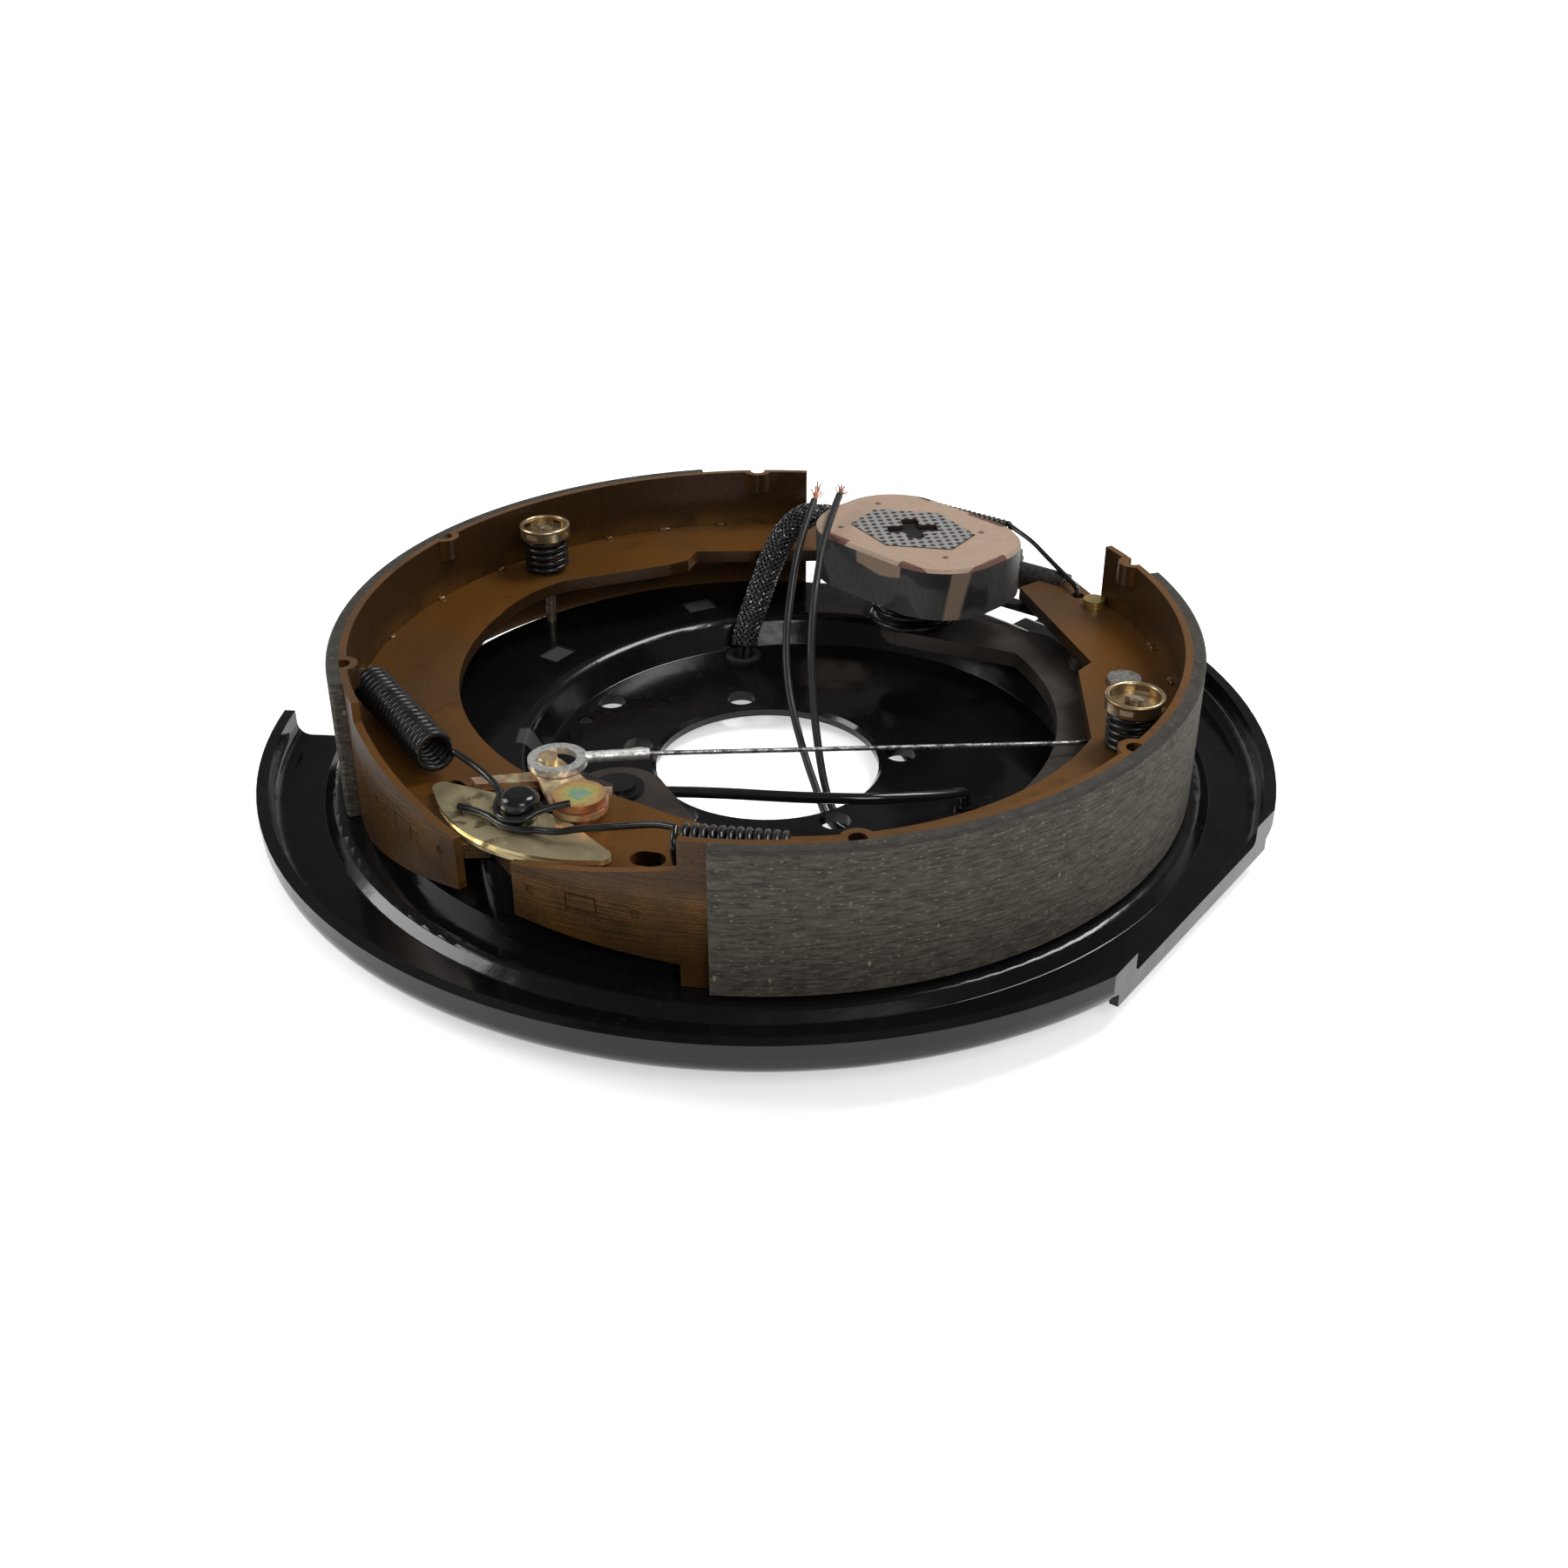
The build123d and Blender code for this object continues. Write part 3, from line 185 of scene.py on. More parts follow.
class Nodes:
    """Short ways to add nodes to a material or a world."""

    def __init__(self, owner):
        owner.use_nodes = True
        self.nodes = owner.node_tree.nodes
        self.links = owner.node_tree.links

    def put(self, socket, value):
        """Sets a socket to a number or colour, or links it to another socket."""
        if isinstance(value, bpy.types.NodeSocket):
            self.links.new(value, socket)
        else:
            socket.default_value = value

    def add(self, kind, **inputs):
        """New shader node. An input's name has _ for each space."""
        node = self.nodes.new("ShaderNode" + kind)
        for name, value in inputs.items():
            self.put(node.inputs[name.replace("_", " ")], value)
        return node

    def steps(self, value, low, high, first=0.0, last=1.0, kind="SMOOTHSTEP"):
        """Fades from one number to another between two values."""
        node = self.add("MapRange", Value=value, From_Min=low, From_Max=high, To_Min=first, To_Max=last)
        node.interpolation_type = kind
        return node.outputs["Result"]

    def maths(self, operation, first, second=0.0):
        node = self.add("Math")
        node.operation = operation
        self.put(node.inputs[0], first)
        self.put(node.inputs[1], second)
        return node.outputs["Value"]

    def times(self, first, second):
        return self.maths("MULTIPLY", first, second)

    def plus(self, first, second):
        return self.maths("ADD", first, second)

    def minus(self, first, second):
        return self.maths("SUBTRACT", first, second)

    def distance(self, x, y):
        """Distance from the axis that X and Y are measured from."""
        return self.maths("SQRT", self.plus(self.times(x, x), self.times(y, y)))

    def window(self, value, low, high, soft=0.0004):
        """1 between two values and 0 outside them."""
        return self.times(self.steps(value, low - soft, low + soft),
                          self.steps(value, high - soft, high + soft, 1.0, 0.0))

    def parts(self, vector):
        node = self.add("SeparateXYZ", Vector=vector)
        return node.outputs["X"], node.outputs["Y"], node.outputs["Z"]


class Finish(Nodes):
    """A procedural material in Object coordinates."""

    def __init__(self, name, metallic=0.0, specular=0.5, coat=0.0, coat_roughness=0.1):
        self.material = bpy.data.materials.new(name)
        super().__init__(self.material)
        self.shader = self.nodes["Principled BSDF"]
        self.shader.inputs["Metallic"].default_value = metallic
        self.shader.inputs["Specular IOR Level"].default_value = specular
        self.shader.inputs["Coat Weight"].default_value = coat
        self.shader.inputs["Coat Roughness"].default_value = coat_roughness
        self.place = self.add("TexCoord").outputs["Object"]

    def mapped(self, stretch=(1, 1, 1), centre=(0, 0, 0), turn=0.0):
        """Object coordinates about a centre, turned about Z and stretched."""
        moved = self.add("Mapping", Location=tuple(-value for value in centre), Vector=self.place)
        turned = self.add("Mapping", Rotation=(0, 0, -turn), Vector=moved.outputs["Vector"])
        return self.add("Mapping", Scale=stretch, Vector=turned.outputs["Vector"]).outputs["Vector"]

    def noise(self, scale, detail=4.0, rough=0.5, place=None):
        node = self.add("TexNoise", Scale=scale, Detail=detail, Roughness=rough, Vector=place or self.place)
        return node.outputs["Fac"]

    def cells(self, scale, place=None, even=False, output="Distance"):
        chance = 0.0 if even else 1.0
        node = self.add("TexVoronoi", Scale=scale, Randomness=chance, Vector=place or self.place)
        return node.outputs[output]

    def facing(self):
        """X, Y and Z parts of the surface's own direction."""
        return self.parts(self.add("TexCoord").outputs["Normal"])

    def blend(self, factor, first, second):
        node = self.add("Mix")
        node.data_type = "RGBA"
        self.put(node.inputs[0], factor)
        self.put(node.inputs[6], first)
        self.put(node.inputs[7], second)
        return node.outputs[2]

    def ramp(self, value, stops):
        node = self.add("ValToRGB", Fac=value)
        while len(node.color_ramp.elements) < len(stops):
            node.color_ramp.elements.new(0.5)
        for element, (position, colour) in zip(node.color_ramp.elements, stops):
            element.position = position
            element.color = colour
        return node.outputs["Color"]

    def bump(self, height, strength, distance, under=None):
        node = self.add("Bump", Strength=strength, Distance=distance, Height=height)
        if under is not None:
            self.put(node.inputs["Normal"], under)
        return node.outputs["Normal"]

    def done(self, colour, roughness, normal=None):
        self.put(self.shader.inputs["Base Color"], colour)
        self.put(self.shader.inputs["Roughness"], roughness)
        if normal is not None:
            self.put(self.shader.inputs["Normal"], normal)
        return self.material


def shade(colour, factor):
    """A lighter or darker copy of a colour."""
    return tuple(value * factor for value in colour[:3]) + (1.0,)


def gloss_black_paint(name, colour, specular=0.35, pale_marks=()):
    """Gloss black with dust. Each given place is X, Y and turn in degrees of a pale square mark."""
    paint = Finish(name, specular=specular)
    cloud = paint.noise(38, 3)
    dust = paint.noise(420, 5, 0.7)
    dusty = paint.steps(dust, 0.56, 0.72)
    film = paint.times(dusty, paint.steps(paint.noise(24, 2), 0.42, 0.68, 0.05, 0.55))
    tone = paint.blend(cloud, shade(colour, 0.75), shade(colour, 1.35))
    tone = paint.blend(film, tone, (0.022, 0.021, 0.020, 1))
    half_wide, half_long = 0.0045, 0.0060
    for x, y, turn in pale_marks:
        across, along, _ = paint.parts(paint.mapped(centre=(x, y, 0), turn=radians(turn)))
        mark = paint.times(paint.window(across, -half_wide, half_wide),
                           paint.window(along, -half_long, half_long))
        tone = paint.blend(paint.times(mark, 0.8), tone, (0.060, 0.060, 0.060, 1))
    rough = paint.steps(cloud, 0.3, 0.7, 0.10, 0.20)
    rough = paint.plus(rough, paint.times(film, 0.25))
    waves = paint.bump(paint.noise(48, 2), 0.30, 0.0012)
    peel = paint.bump(paint.noise(700, 2), 0.10, 0.00020, waves)
    return paint.done(tone, rough, peel)


def oiled_black_wire(name):
    wire = Finish(name, specular=0.35)
    patch = wire.noise(160, 4)
    tone = wire.blend(patch, (0.0035, 0.0035, 0.004, 1), (0.012, 0.0115, 0.011, 1))
    worn = wire.steps(wire.noise(900, 4, 0.7), 0.62, 0.72)
    tone = wire.blend(wire.times(worn, 0.4), tone, (0.050, 0.046, 0.042, 1))
    grain = wire.bump(wire.noise(1400, 3), 0.25, 0.00015)
    return wire.done(tone, wire.steps(patch, 0.3, 0.7, 0.16, 0.34), grain)


def bronze_lacquer(name, colours):
    """Bronze lacquer: olive brown on the webs, amber where it ran together, with painted shade on the tables'
    walls and in the recessed marks of their outer faces; the amber in the corner by the web is partly pooled
    lacquer and partly a painted sheen.
    """
    coat = Finish(name, metallic=0.45, specular=0.25, coat=0.12, coat_roughness=0.12)
    nx, ny, _ = coat.facing()
    x, y, z = coat.parts(coat.place)
    reach = coat.distance(x, y)
    outward = coat.plus(coat.times(nx, x), coat.times(ny, y))
    wide = coat.noise(17, 3, 0.55)
    fine = coat.noise(1500, 3, 0.6)
    tone = coat.blend(coat.steps(wide, 0.35, 0.66), colours.shoe, colours.shoe_amber)

    # Painted shade: inner and outer walls of the tables are painted darker than the webs' tops
    tone = coat.blend(coat.steps(outward, -0.12, -0.03, 0.95, 0.0), tone, shade(colours.shoe, 0.30))
    outside = coat.steps(outward, 0.03, 0.12)
    tone = coat.blend(coat.times(outside, 0.9), tone, (0.044, 0.023, 0.0105, 1))
    lines = coat.noise(1.0, 4, 0.6, coat.mapped((30, 30, 1500)))
    streaks = coat.times(outside, coat.steps(lines, 0.44, 0.62, 0.0, 0.7))
    tone = coat.blend(streaks, tone, (0.018, 0.0085, 0.004, 1))

    # Painted shade: the recessed marks in the tables' outer face are painted dark
    under_face = coat.steps(reach, TABLE_OUTSIDE - 0.00040, TABLE_OUTSIDE - 0.00015, 1.0, 0.0)
    pressed_mark_shade = coat.times(outside, under_face)
    tone = coat.blend(coat.times(pressed_mark_shade, 0.85), tone, (0.011, 0.0055, 0.003, 1))

    # Amber in the corner between web and table: partly pooled lacquer, partly a painted sheen
    above_web, table_top = 0.0392, 0.0465
    corner = coat.times(coat.steps(reach, 0.1375, TABLE_CORNER),
                        coat.steps(z, above_web, table_top, 1.0, 0.0))
    pool_and_sheen = coat.times(corner, coat.steps(coat.noise(46, 4, 0.6), 0.38, 0.62, 0.15, 1.0))
    tone = coat.blend(coat.times(pool_and_sheen, 0.55), tone, (0.150, 0.070, 0.014, 1))
    speck = coat.steps(fine, 0.45, 0.75, 0.0, 0.30)
    tone = coat.blend(speck, tone, shade(colours.shoe, 1.7))
    grime = coat.steps(coat.noise(60, 6, 0.65), 0.54, 0.72, 0.0, 0.6)
    tone = coat.blend(grime, tone, shade(colours.shoe, 0.28))
    rough = coat.steps(wide, 0.35, 0.7, 0.46, 0.34)
    rough = coat.minus(rough, coat.times(pool_and_sheen, 0.18))
    pits = coat.bump(coat.noise(1100, 2), 0.30, 0.00015)
    grooved = coat.bump(coat.times(lines, outside), 0.5, 0.0003, pits)
    sag = coat.bump(coat.noise(90, 3), 0.25, 0.0006, grooved)
    return coat.done(tone, rough, sag)


def ground_lining(name, colour):
    face = Finish(name, specular=0.25)
    _, _, upward = face.facing()
    lines = face.noise(1.0, 7, 0.72, face.mapped((150, 150, 1300)))
    blotch = face.noise(480, 5, 0.7)
    tone = face.blend(face.steps(lines, 0.34, 0.66), shade(colour, 0.42), shade(colour, 1.45))
    tone = face.blend(face.steps(blotch, 0.50, 0.66, 0.0, 0.55), tone, shade(colour, 0.35))

    # Pale spots in a few of the cells, and small slivers in more of them
    spot = face.mapped((1.0, 1.0, 0.55))
    chosen, _, _ = face.parts(face.cells(230, spot, output="Color"))
    pale = face.times(face.steps(face.cells(230, spot), 0.08, 0.18, 0.8, 0.0), face.steps(chosen, 0.86, 0.90))
    sliver = face.mapped((0.6, 0.6, 1.6))
    _, chosen, _ = face.parts(face.cells(760, sliver, output="Color"))
    dots = face.times(face.steps(face.cells(760, sliver), 0.18, 0.32, 0.8, 0.0),
                      face.steps(chosen, 0.74, 0.84))
    tone = face.blend(pale, tone, (0.330, 0.270, 0.180, 1))
    tone = face.blend(dots, tone, (0.240, 0.205, 0.160, 1))
    edge = face.steps(upward, 0.35, 0.6)
    tone = face.blend(face.times(edge, 0.75), tone, (0.021, 0.019, 0.016, 1))
    height = face.plus(lines, face.times(blotch, 0.6))
    rough = face.steps(blotch, 0.4, 0.6, 0.88, 0.70)
    return face.done(tone, rough, face.bump(height, 0.55, 0.0004))


def zinc_plate(name, tint, other, low, high, grime):
    """Zinc in clouds of two tints, between two roughnesses, with grime."""
    plate = Finish(name, metallic=0.92, specular=0.5)
    cloud = plate.noise(170, 4, 0.6)
    tone = plate.blend(plate.steps(cloud, 0.36, 0.64), tint, other)
    dirt = plate.steps(plate.noise(420, 6, 0.7), 0.55, 0.70, 0.0, grime)
    tone = plate.blend(dirt, tone, (0.060, 0.042, 0.024, 1))
    rough = plate.plus(plate.steps(cloud, 0.3, 0.7, low, high), plate.times(dirt, 0.4))
    scratch = plate.noise(1.0, 3, 0.6, plate.mapped((260, 2600, 600), turn=0.5))
    return plate.done(tone, rough, plate.bump(scratch, 0.18, 0.00012))


def guide_zinc(name, colours):
    """Yellow zinc with the brown smear beside the anchor."""
    plate = Finish(name, metallic=0.9, specular=0.5)
    local = plate.mapped(centre=(0.010, 0.134, 0.040), turn=radians(18))
    x, _, _ = plate.parts(local)
    ragged = plate.times(plate.noise(190, 5, 0.6), 0.016)
    reach = plate.plus(plate.maths("ABSOLUTE", x), ragged)
    smear = plate.steps(reach, 0.014, 0.024, 0.75, 0.0)
    cloud = plate.noise(140, 4, 0.6)
    tone = plate.blend(plate.steps(cloud, 0.38, 0.62), colours.zinc, shade(colours.zinc, 0.78))
    patches = plate.steps(plate.noise(120, 3), 0.50, 0.60)
    tone = plate.blend(plate.times(smear, patches), tone, (0.085, 0.048, 0.022, 1))
    rough = plate.steps(cloud, 0.3, 0.7, 0.22, 0.40)
    return plate.done(tone, rough, plate.bump(plate.noise(900, 3), 0.12, 0.00015))


def rainbow_zinc(name, centre):
    """Passivated disc whose colour runs through green, gold and rose."""
    disc = Finish(name, metallic=0.85, specular=0.5)
    x, y, _ = disc.parts(disc.mapped(centre=centre))
    reach = disc.distance(x, y)
    swirl = disc.times(disc.noise(260, 3, 0.6), 0.0080)
    mixed = disc.steps(disc.plus(reach, swirl), 0.0025, 0.0125)
    tone = disc.ramp(mixed, [
        (0.00, (0.500, 0.480, 0.480, 1)),
        (0.22, (0.380, 0.660, 0.480, 1)),
        (0.42, (0.500, 0.700, 0.340, 1)),
        (0.60, (0.800, 0.680, 0.250, 1)),
        (0.84, (0.820, 0.600, 0.220, 1)),
        (1.00, (0.760, 0.440, 0.200, 1)),
    ])
    _, _, upward = disc.facing()
    tone = disc.blend(disc.steps(upward, 0.3, 0.8, 1.0, 0.0), tone, (0.600, 0.260, 0.140, 1))
    fine = disc.noise(1500, 3)
    return disc.done(tone, disc.steps(fine, 0.3, 0.7, 0.28, 0.42), disc.bump(fine, 0.2, 0.0001))


def bare_steel(name, tint, dark, low=0.32, high=0.55, metallic=0.85):
    """Steel in clouds of two tints, between two roughnesses."""
    steel = Finish(name, metallic=metallic, specular=0.5)
    cloud = steel.noise(520, 5, 0.65)
    tone = steel.blend(steel.steps(cloud, 0.40, 0.64), tint, dark)
    return steel.done(tone, steel.steps(cloud, 0.3, 0.7, low, high), steel.bump(cloud, 0.25, 0.00015))


def arm_steel(name):
    steel = Finish(name, metallic=0.35, specular=0.4)
    cloud = steel.noise(46, 5, 0.6)
    tone = steel.blend(cloud, (0.016, 0.013, 0.011, 1), (0.060, 0.047, 0.038, 1))
    rust = steel.steps(steel.noise(150, 6, 0.7), 0.60, 0.72, 0.0, 0.6)
    tone = steel.blend(rust, tone, (0.080, 0.040, 0.018, 1))
    return steel.done(tone, steel.steps(cloud, 0.3, 0.7, 0.30, 0.52), steel.bump(cloud, 0.2, 0.0004))


def magnet_resin(name, colours):
    """Sanded pale face, rust-brown patches on its edge and a dark grained side with pale bare places."""
    case = Finish(name, specular=0.3)
    _, _, upward = case.facing()
    face_centre = (-0.0029, -0.0930, 0.0640)
    x, y, z = case.parts(case.mapped(centre=face_centre, turn=radians(-9)))
    fine = case.noise(900, 5, 0.65)
    sand = case.noise(1.0, 4, 0.6, case.mapped((300, 2200, 300), turn=radians(35)))
    top = case.blend(case.steps(sand, 0.35, 0.7), shade(colours.resin, 0.86), shade(colours.resin, 1.10))
    stain = case.steps(case.noise(52, 4, 0.6), 0.55, 0.72, 0.0, 0.45)
    top = case.blend(stain, top, (0.300, 0.190, 0.130, 1))

    # Rust-brown patches that lie along parts of the face's edge
    wave = case.times(case.noise(240, 4, 0.6), 0.0012)
    rim_front = case.steps(case.plus(y, wave), 0.0262, 0.0266)
    rim_back = case.steps(case.minus(y, wave), -0.0266, -0.0262, 1.0, 0.0)
    rim_right = case.steps(case.minus(x, wave), -0.0392, -0.0386, 1.0, 0.0)
    strip = case.times(rim_front, case.window(x, 0.0110, 0.0246))
    others = ((rim_front, -0.0400, -0.0160), (rim_back, 0.0170, 0.0250), (rim_back, -0.0210, -0.0030))
    for rim, low, high in others:
        strip = case.plus(strip, case.times(rim, case.window(x, low, high)))
    strip = case.maths("MAXIMUM", strip, case.times(rim_right, case.window(y, -0.0050, 0.0240)))
    strip = case.maths("MINIMUM", strip, 0.92)
    top = case.blend(strip, top, (0.085, 0.034, 0.024, 1))
    half_hole = 0.0011
    for hole_x, hole_y in ((0.0295, -0.0094), (0.0230, 0.0189), (-0.0186, -0.0159), (-0.0250, 0.0124)):
        pin = case.times(case.window(x, hole_x - half_hole, hole_x + half_hole),
                         case.window(y, hole_y - half_hole, hole_y + half_hole))
        top = case.blend(case.times(pin, 0.85), top, (0.060, 0.034, 0.026, 1))

    # Side wall: dark scratched steel colour, where the resin shows as a tongue and on one corner
    streak = case.noise(1.0, 5, 0.65, case.mapped((700, 700, 260)))
    side = case.blend(streak, (0.018, 0.018, 0.019, 1), (0.085, 0.084, 0.082, 1))
    band = case.noise(30, 2, 0.5)
    side = case.blend(case.steps(band, 0.46, 0.50, 0.75, 0.0), side, (0.012, 0.0125, 0.0135, 1))
    ragged = case.times(case.noise(160, 4, 0.6), 0.0020)
    front = case.steps(y, 0.0, 0.002)
    middle = case.maths("ABSOLUTE", case.plus(x, 0.0072))
    curved = case.minus(z, case.times(middle, 0.18))
    depth = case.steps(case.minus(curved, ragged), -0.0088, -0.0084)
    tongue = case.times(case.window(case.minus(x, ragged), -0.0185, 0.0040), depth)
    side = case.blend(case.times(tongue, front), side, shade(colours.resin, 0.80))
    corner = case.window(case.plus(x, case.times(z, 0.10)), -0.0390, -0.0352)
    side = case.blend(case.times(corner, front), side, shade(colours.resin, 0.72))
    level = case.steps(upward, 0.60, 0.70)
    tone = case.blend(level, side, top)
    rough = case.steps(level, 0.0, 1.0, 0.42, 0.80)
    return case.done(tone, rough, case.bump(case.plus(fine, streak), 0.30, 0.00025))


def perforated_steel(name):
    """Sintered pole face with rows of small pits."""
    pole = Finish(name, metallic=0.35, specular=0.4)
    _, _, upward = pole.facing()
    local = pole.mapped((1.0, 1.0, 0.0), centre=(-0.0009, -0.0926, 0), turn=radians(47))
    pit = pole.steps(pole.cells(290, local, even=True), 0.24, 0.36, 1.0, 0.0)
    fine = pole.noise(1300, 4, 0.7)
    tone = pole.blend(fine, (0.130, 0.128, 0.128, 1), (0.340, 0.335, 0.330, 1))
    rust = pole.steps(pole.noise(300, 4), 0.48, 0.6)
    tone = pole.blend(pit, tone, pole.blend(rust, (0.018, 0.016, 0.015, 1), (0.080, 0.032, 0.014, 1)))
    tone = pole.blend(pole.steps(upward, 0.5, 0.8, 1.0, 0.0), tone, (0.045, 0.022, 0.014, 1))
    hole = pole.steps(pole.parts(pole.place)[2], 0.0627, 0.0632, 1.0, 0.0)
    tone = pole.blend(hole, tone, (0.010, 0.010, 0.010, 1))
    height = pole.minus(pole.times(fine, 0.3), pit)
    return pole.done(tone, 0.62, pole.bump(height, 0.8, 0.0006))


def rubber(name, colour=(0.012, 0.012, 0.012, 1)):
    skin = Finish(name, specular=0.3)
    cloud = skin.noise(240, 4)
    tone = skin.blend(cloud, shade(colour, 0.8), shade(colour, 1.5))
    return skin.done(tone, skin.steps(cloud, 0.3, 0.7, 0.45, 0.7), skin.bump(cloud, 0.2, 0.0002))


def lead_skin(name):
    skin = Finish(name, specular=0.3)
    cloud = skin.noise(120, 5, 0.6)
    tone = skin.blend(cloud, (0.004, 0.004, 0.004, 1), (0.012, 0.0115, 0.011, 1))
    dust = skin.steps(skin.noise(900, 4, 0.7), 0.60, 0.72, 0.0, 0.25)
    tone = skin.blend(dust, tone, (0.060, 0.055, 0.050, 1))
    return skin.done(tone, skin.steps(cloud, 0.3, 0.7, 0.38, 0.58), skin.bump(cloud, 0.2, 0.0003))


def braid_thread(name):
    """Black monofilament with pale glints where threads cross."""
    thread = Finish(name, specular=0.6)
    chosen, _, _ = thread.parts(thread.cells(1000, output="Color"))
    middle = thread.steps(thread.cells(1000), 0.22, 0.44, 1.0, 0.0)
    glint = thread.times(middle, thread.steps(chosen, 0.68, 0.76))
    tone = thread.blend(glint, (0.006, 0.006, 0.0065, 1), (0.700, 0.700, 0.690, 1))
    return thread.done(tone, thread.steps(thread.noise(600), 0.3, 0.7, 0.28, 0.5))


def copper_strand(name, colour):
    strand = Finish(name, metallic=0.9, specular=0.5)
    cloud = strand.noise(700, 4)
    tone = strand.blend(cloud, shade(colour, 0.55), colour)
    return strand.done(tone, strand.steps(cloud, 0.3, 0.7, 0.28, 0.5))


def wear(material, *names):
    """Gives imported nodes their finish."""
    for name in names:
        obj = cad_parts[name]
        if not obj.material_slots:
            obj.data.materials.append(material)
        for slot in obj.material_slots:
            slot.material = material


def open_curve(name, runs, radius, detail=3):
    """New curve object with one round-section NURBS spline for each run of places."""
    bpy.ops.object.select_all(action="DESELECT")
    bpy.ops.curve.primitive_nurbs_path_add()
    obj = bpy.context.object
    obj.name = name
    obj.data.name = name
    obj.data.splines.clear()
    obj.data.dimensions = "3D"
    for places, resolution in runs:
        spline = obj.data.splines.new("NURBS")
        spline.points.add(len(places) - 1)
        for point, place in zip(spline.points, places):
            point.co = (place[0], place[1], place[2], 1.0)
        spline.order_u = 3
        spline.use_endpoint_u = True
        spline.resolution_u = resolution
        spline.use_smooth = True
    obj.data.bevel_depth = radius
    obj.data.bevel_resolution = detail
    obj.data.use_fill_caps = True
    return obj


def solid_wire(name, runs, radius, material, detail=3):
    """Wire piece from runs of places, turned into a mesh."""
    obj = open_curve(name, runs, radius, detail)
    obj.data.materials.append(material)
    bpy.ops.object.convert(target="MESH")
    bpy.ops.object.shade_smooth()
    return bpy.context.object


def path_of(route, resolution=16):
    """Places along a route's NURBS spline, read from a curve with no bevel."""
    obj = open_curve("path_reader", [(route, resolution)], 0.0)
    depsgraph = bpy.context.evaluated_depsgraph_get()
    mesh = bpy.data.meshes.new_from_object(obj.evaluated_get(depsgraph))
    places = [vertex.co.copy() for vertex in mesh.vertices]
    bpy.data.meshes.remove(mesh)
    bpy.data.objects.remove(obj)
    return places


def even_places(places, gap):
    """The same line with its places an even distance apart."""
    line = [places[0]]
    left = gap
    for before, after in zip(places, places[1:]):
        run = after - before
        done = 0.0
        while run.length - done >= left:
            done += left
            line.append(before + run.normalized() * done)
            left = gap
        left -= run.length - done
    return line


def frames_along(places, wide=None):
    """Two directions across the line at each place.

    The first is carried along without twist, or stays as near as it can to the direction that is given.
    """
    frames = []
    side = wide
    for index in range(len(places)):
        before = places[max(index - 1, 0)]
        after = places[min(index + 1, len(places) - 1)]
        along = (after - before).normalized()
        if side is None:
            side = along.orthogonal().normalized()
        guide = side if wide is None else wide
        side = (guide - along * guide.dot(along)).normalized()
        frames.append((side, along.cross(side)))
    return frames


def twisted(places, frames, reach, turn_length, phase, flat=1.0, weave=0.0, crossings=0):
    """Strand that goes round a line, one turn in each turn_length, and weaves in and out at its crossings."""
    strand = []
    run = 0.0
    for index, (place, (side, up)) in enumerate(zip(places, frames)):
        if index:
            run += (place - places[index - 1]).length
        angle = phase + 2 * pi * run / turn_length
        distance = reach + weave * cos(crossings * angle)
        strand.append(place + side * (distance * cos(angle)) + up * (distance * flat * sin(angle)))
    return strand


def coil_places(start, end, radius, first_angle, turns, steps=16, end_radius=None):
    """Places on a coil between two points. Angles are about the coil's axis from its level side."""
    run = end - start
    along = run.normalized()
    side = Vector((-along.y, along.x, 0)).normalized() if abs(along.z) < 0.9 else Vector((1, 0, 0))
    up = along.cross(side) if abs(along.z) > 0.9 else Vector((0, 0, 1))
    last = radius if end_radius is None else end_radius
    count = int(abs(turns) * steps)
    places = []
    for index in range(count + 1):
        share = index / count
        angle = first_angle + 2 * pi * turns * share
        reach = radius + (last - radius) * share
        places.append(start + run * share + side * (reach * cos(angle)) + up * (reach * sin(angle)))
    return places


class BRAKE_OT_camera(bpy.types.Operator):
    """Puts the camera where the photograph was taken."""

    bl_idname = "brake.camera"
    bl_label = "Camera"

    def execute(self, context):
        bpy.ops.object.select_all(action="DESELECT")
        bpy.ops.object.camera_add(location=(-0.33815, 0.44675, 0.32541))
        camera = context.object
        camera.name = "photo_camera"
        camera.rotation_euler = Vector((0.5117, -0.6915, -0.5100)).to_track_quat("-Z", "Y").to_euler()
        camera.data.sensor_width = 36
        camera.data.lens = 40.28
        camera.data.clip_start = 0.01
        context.scene.camera = camera
        return {"FINISHED"}


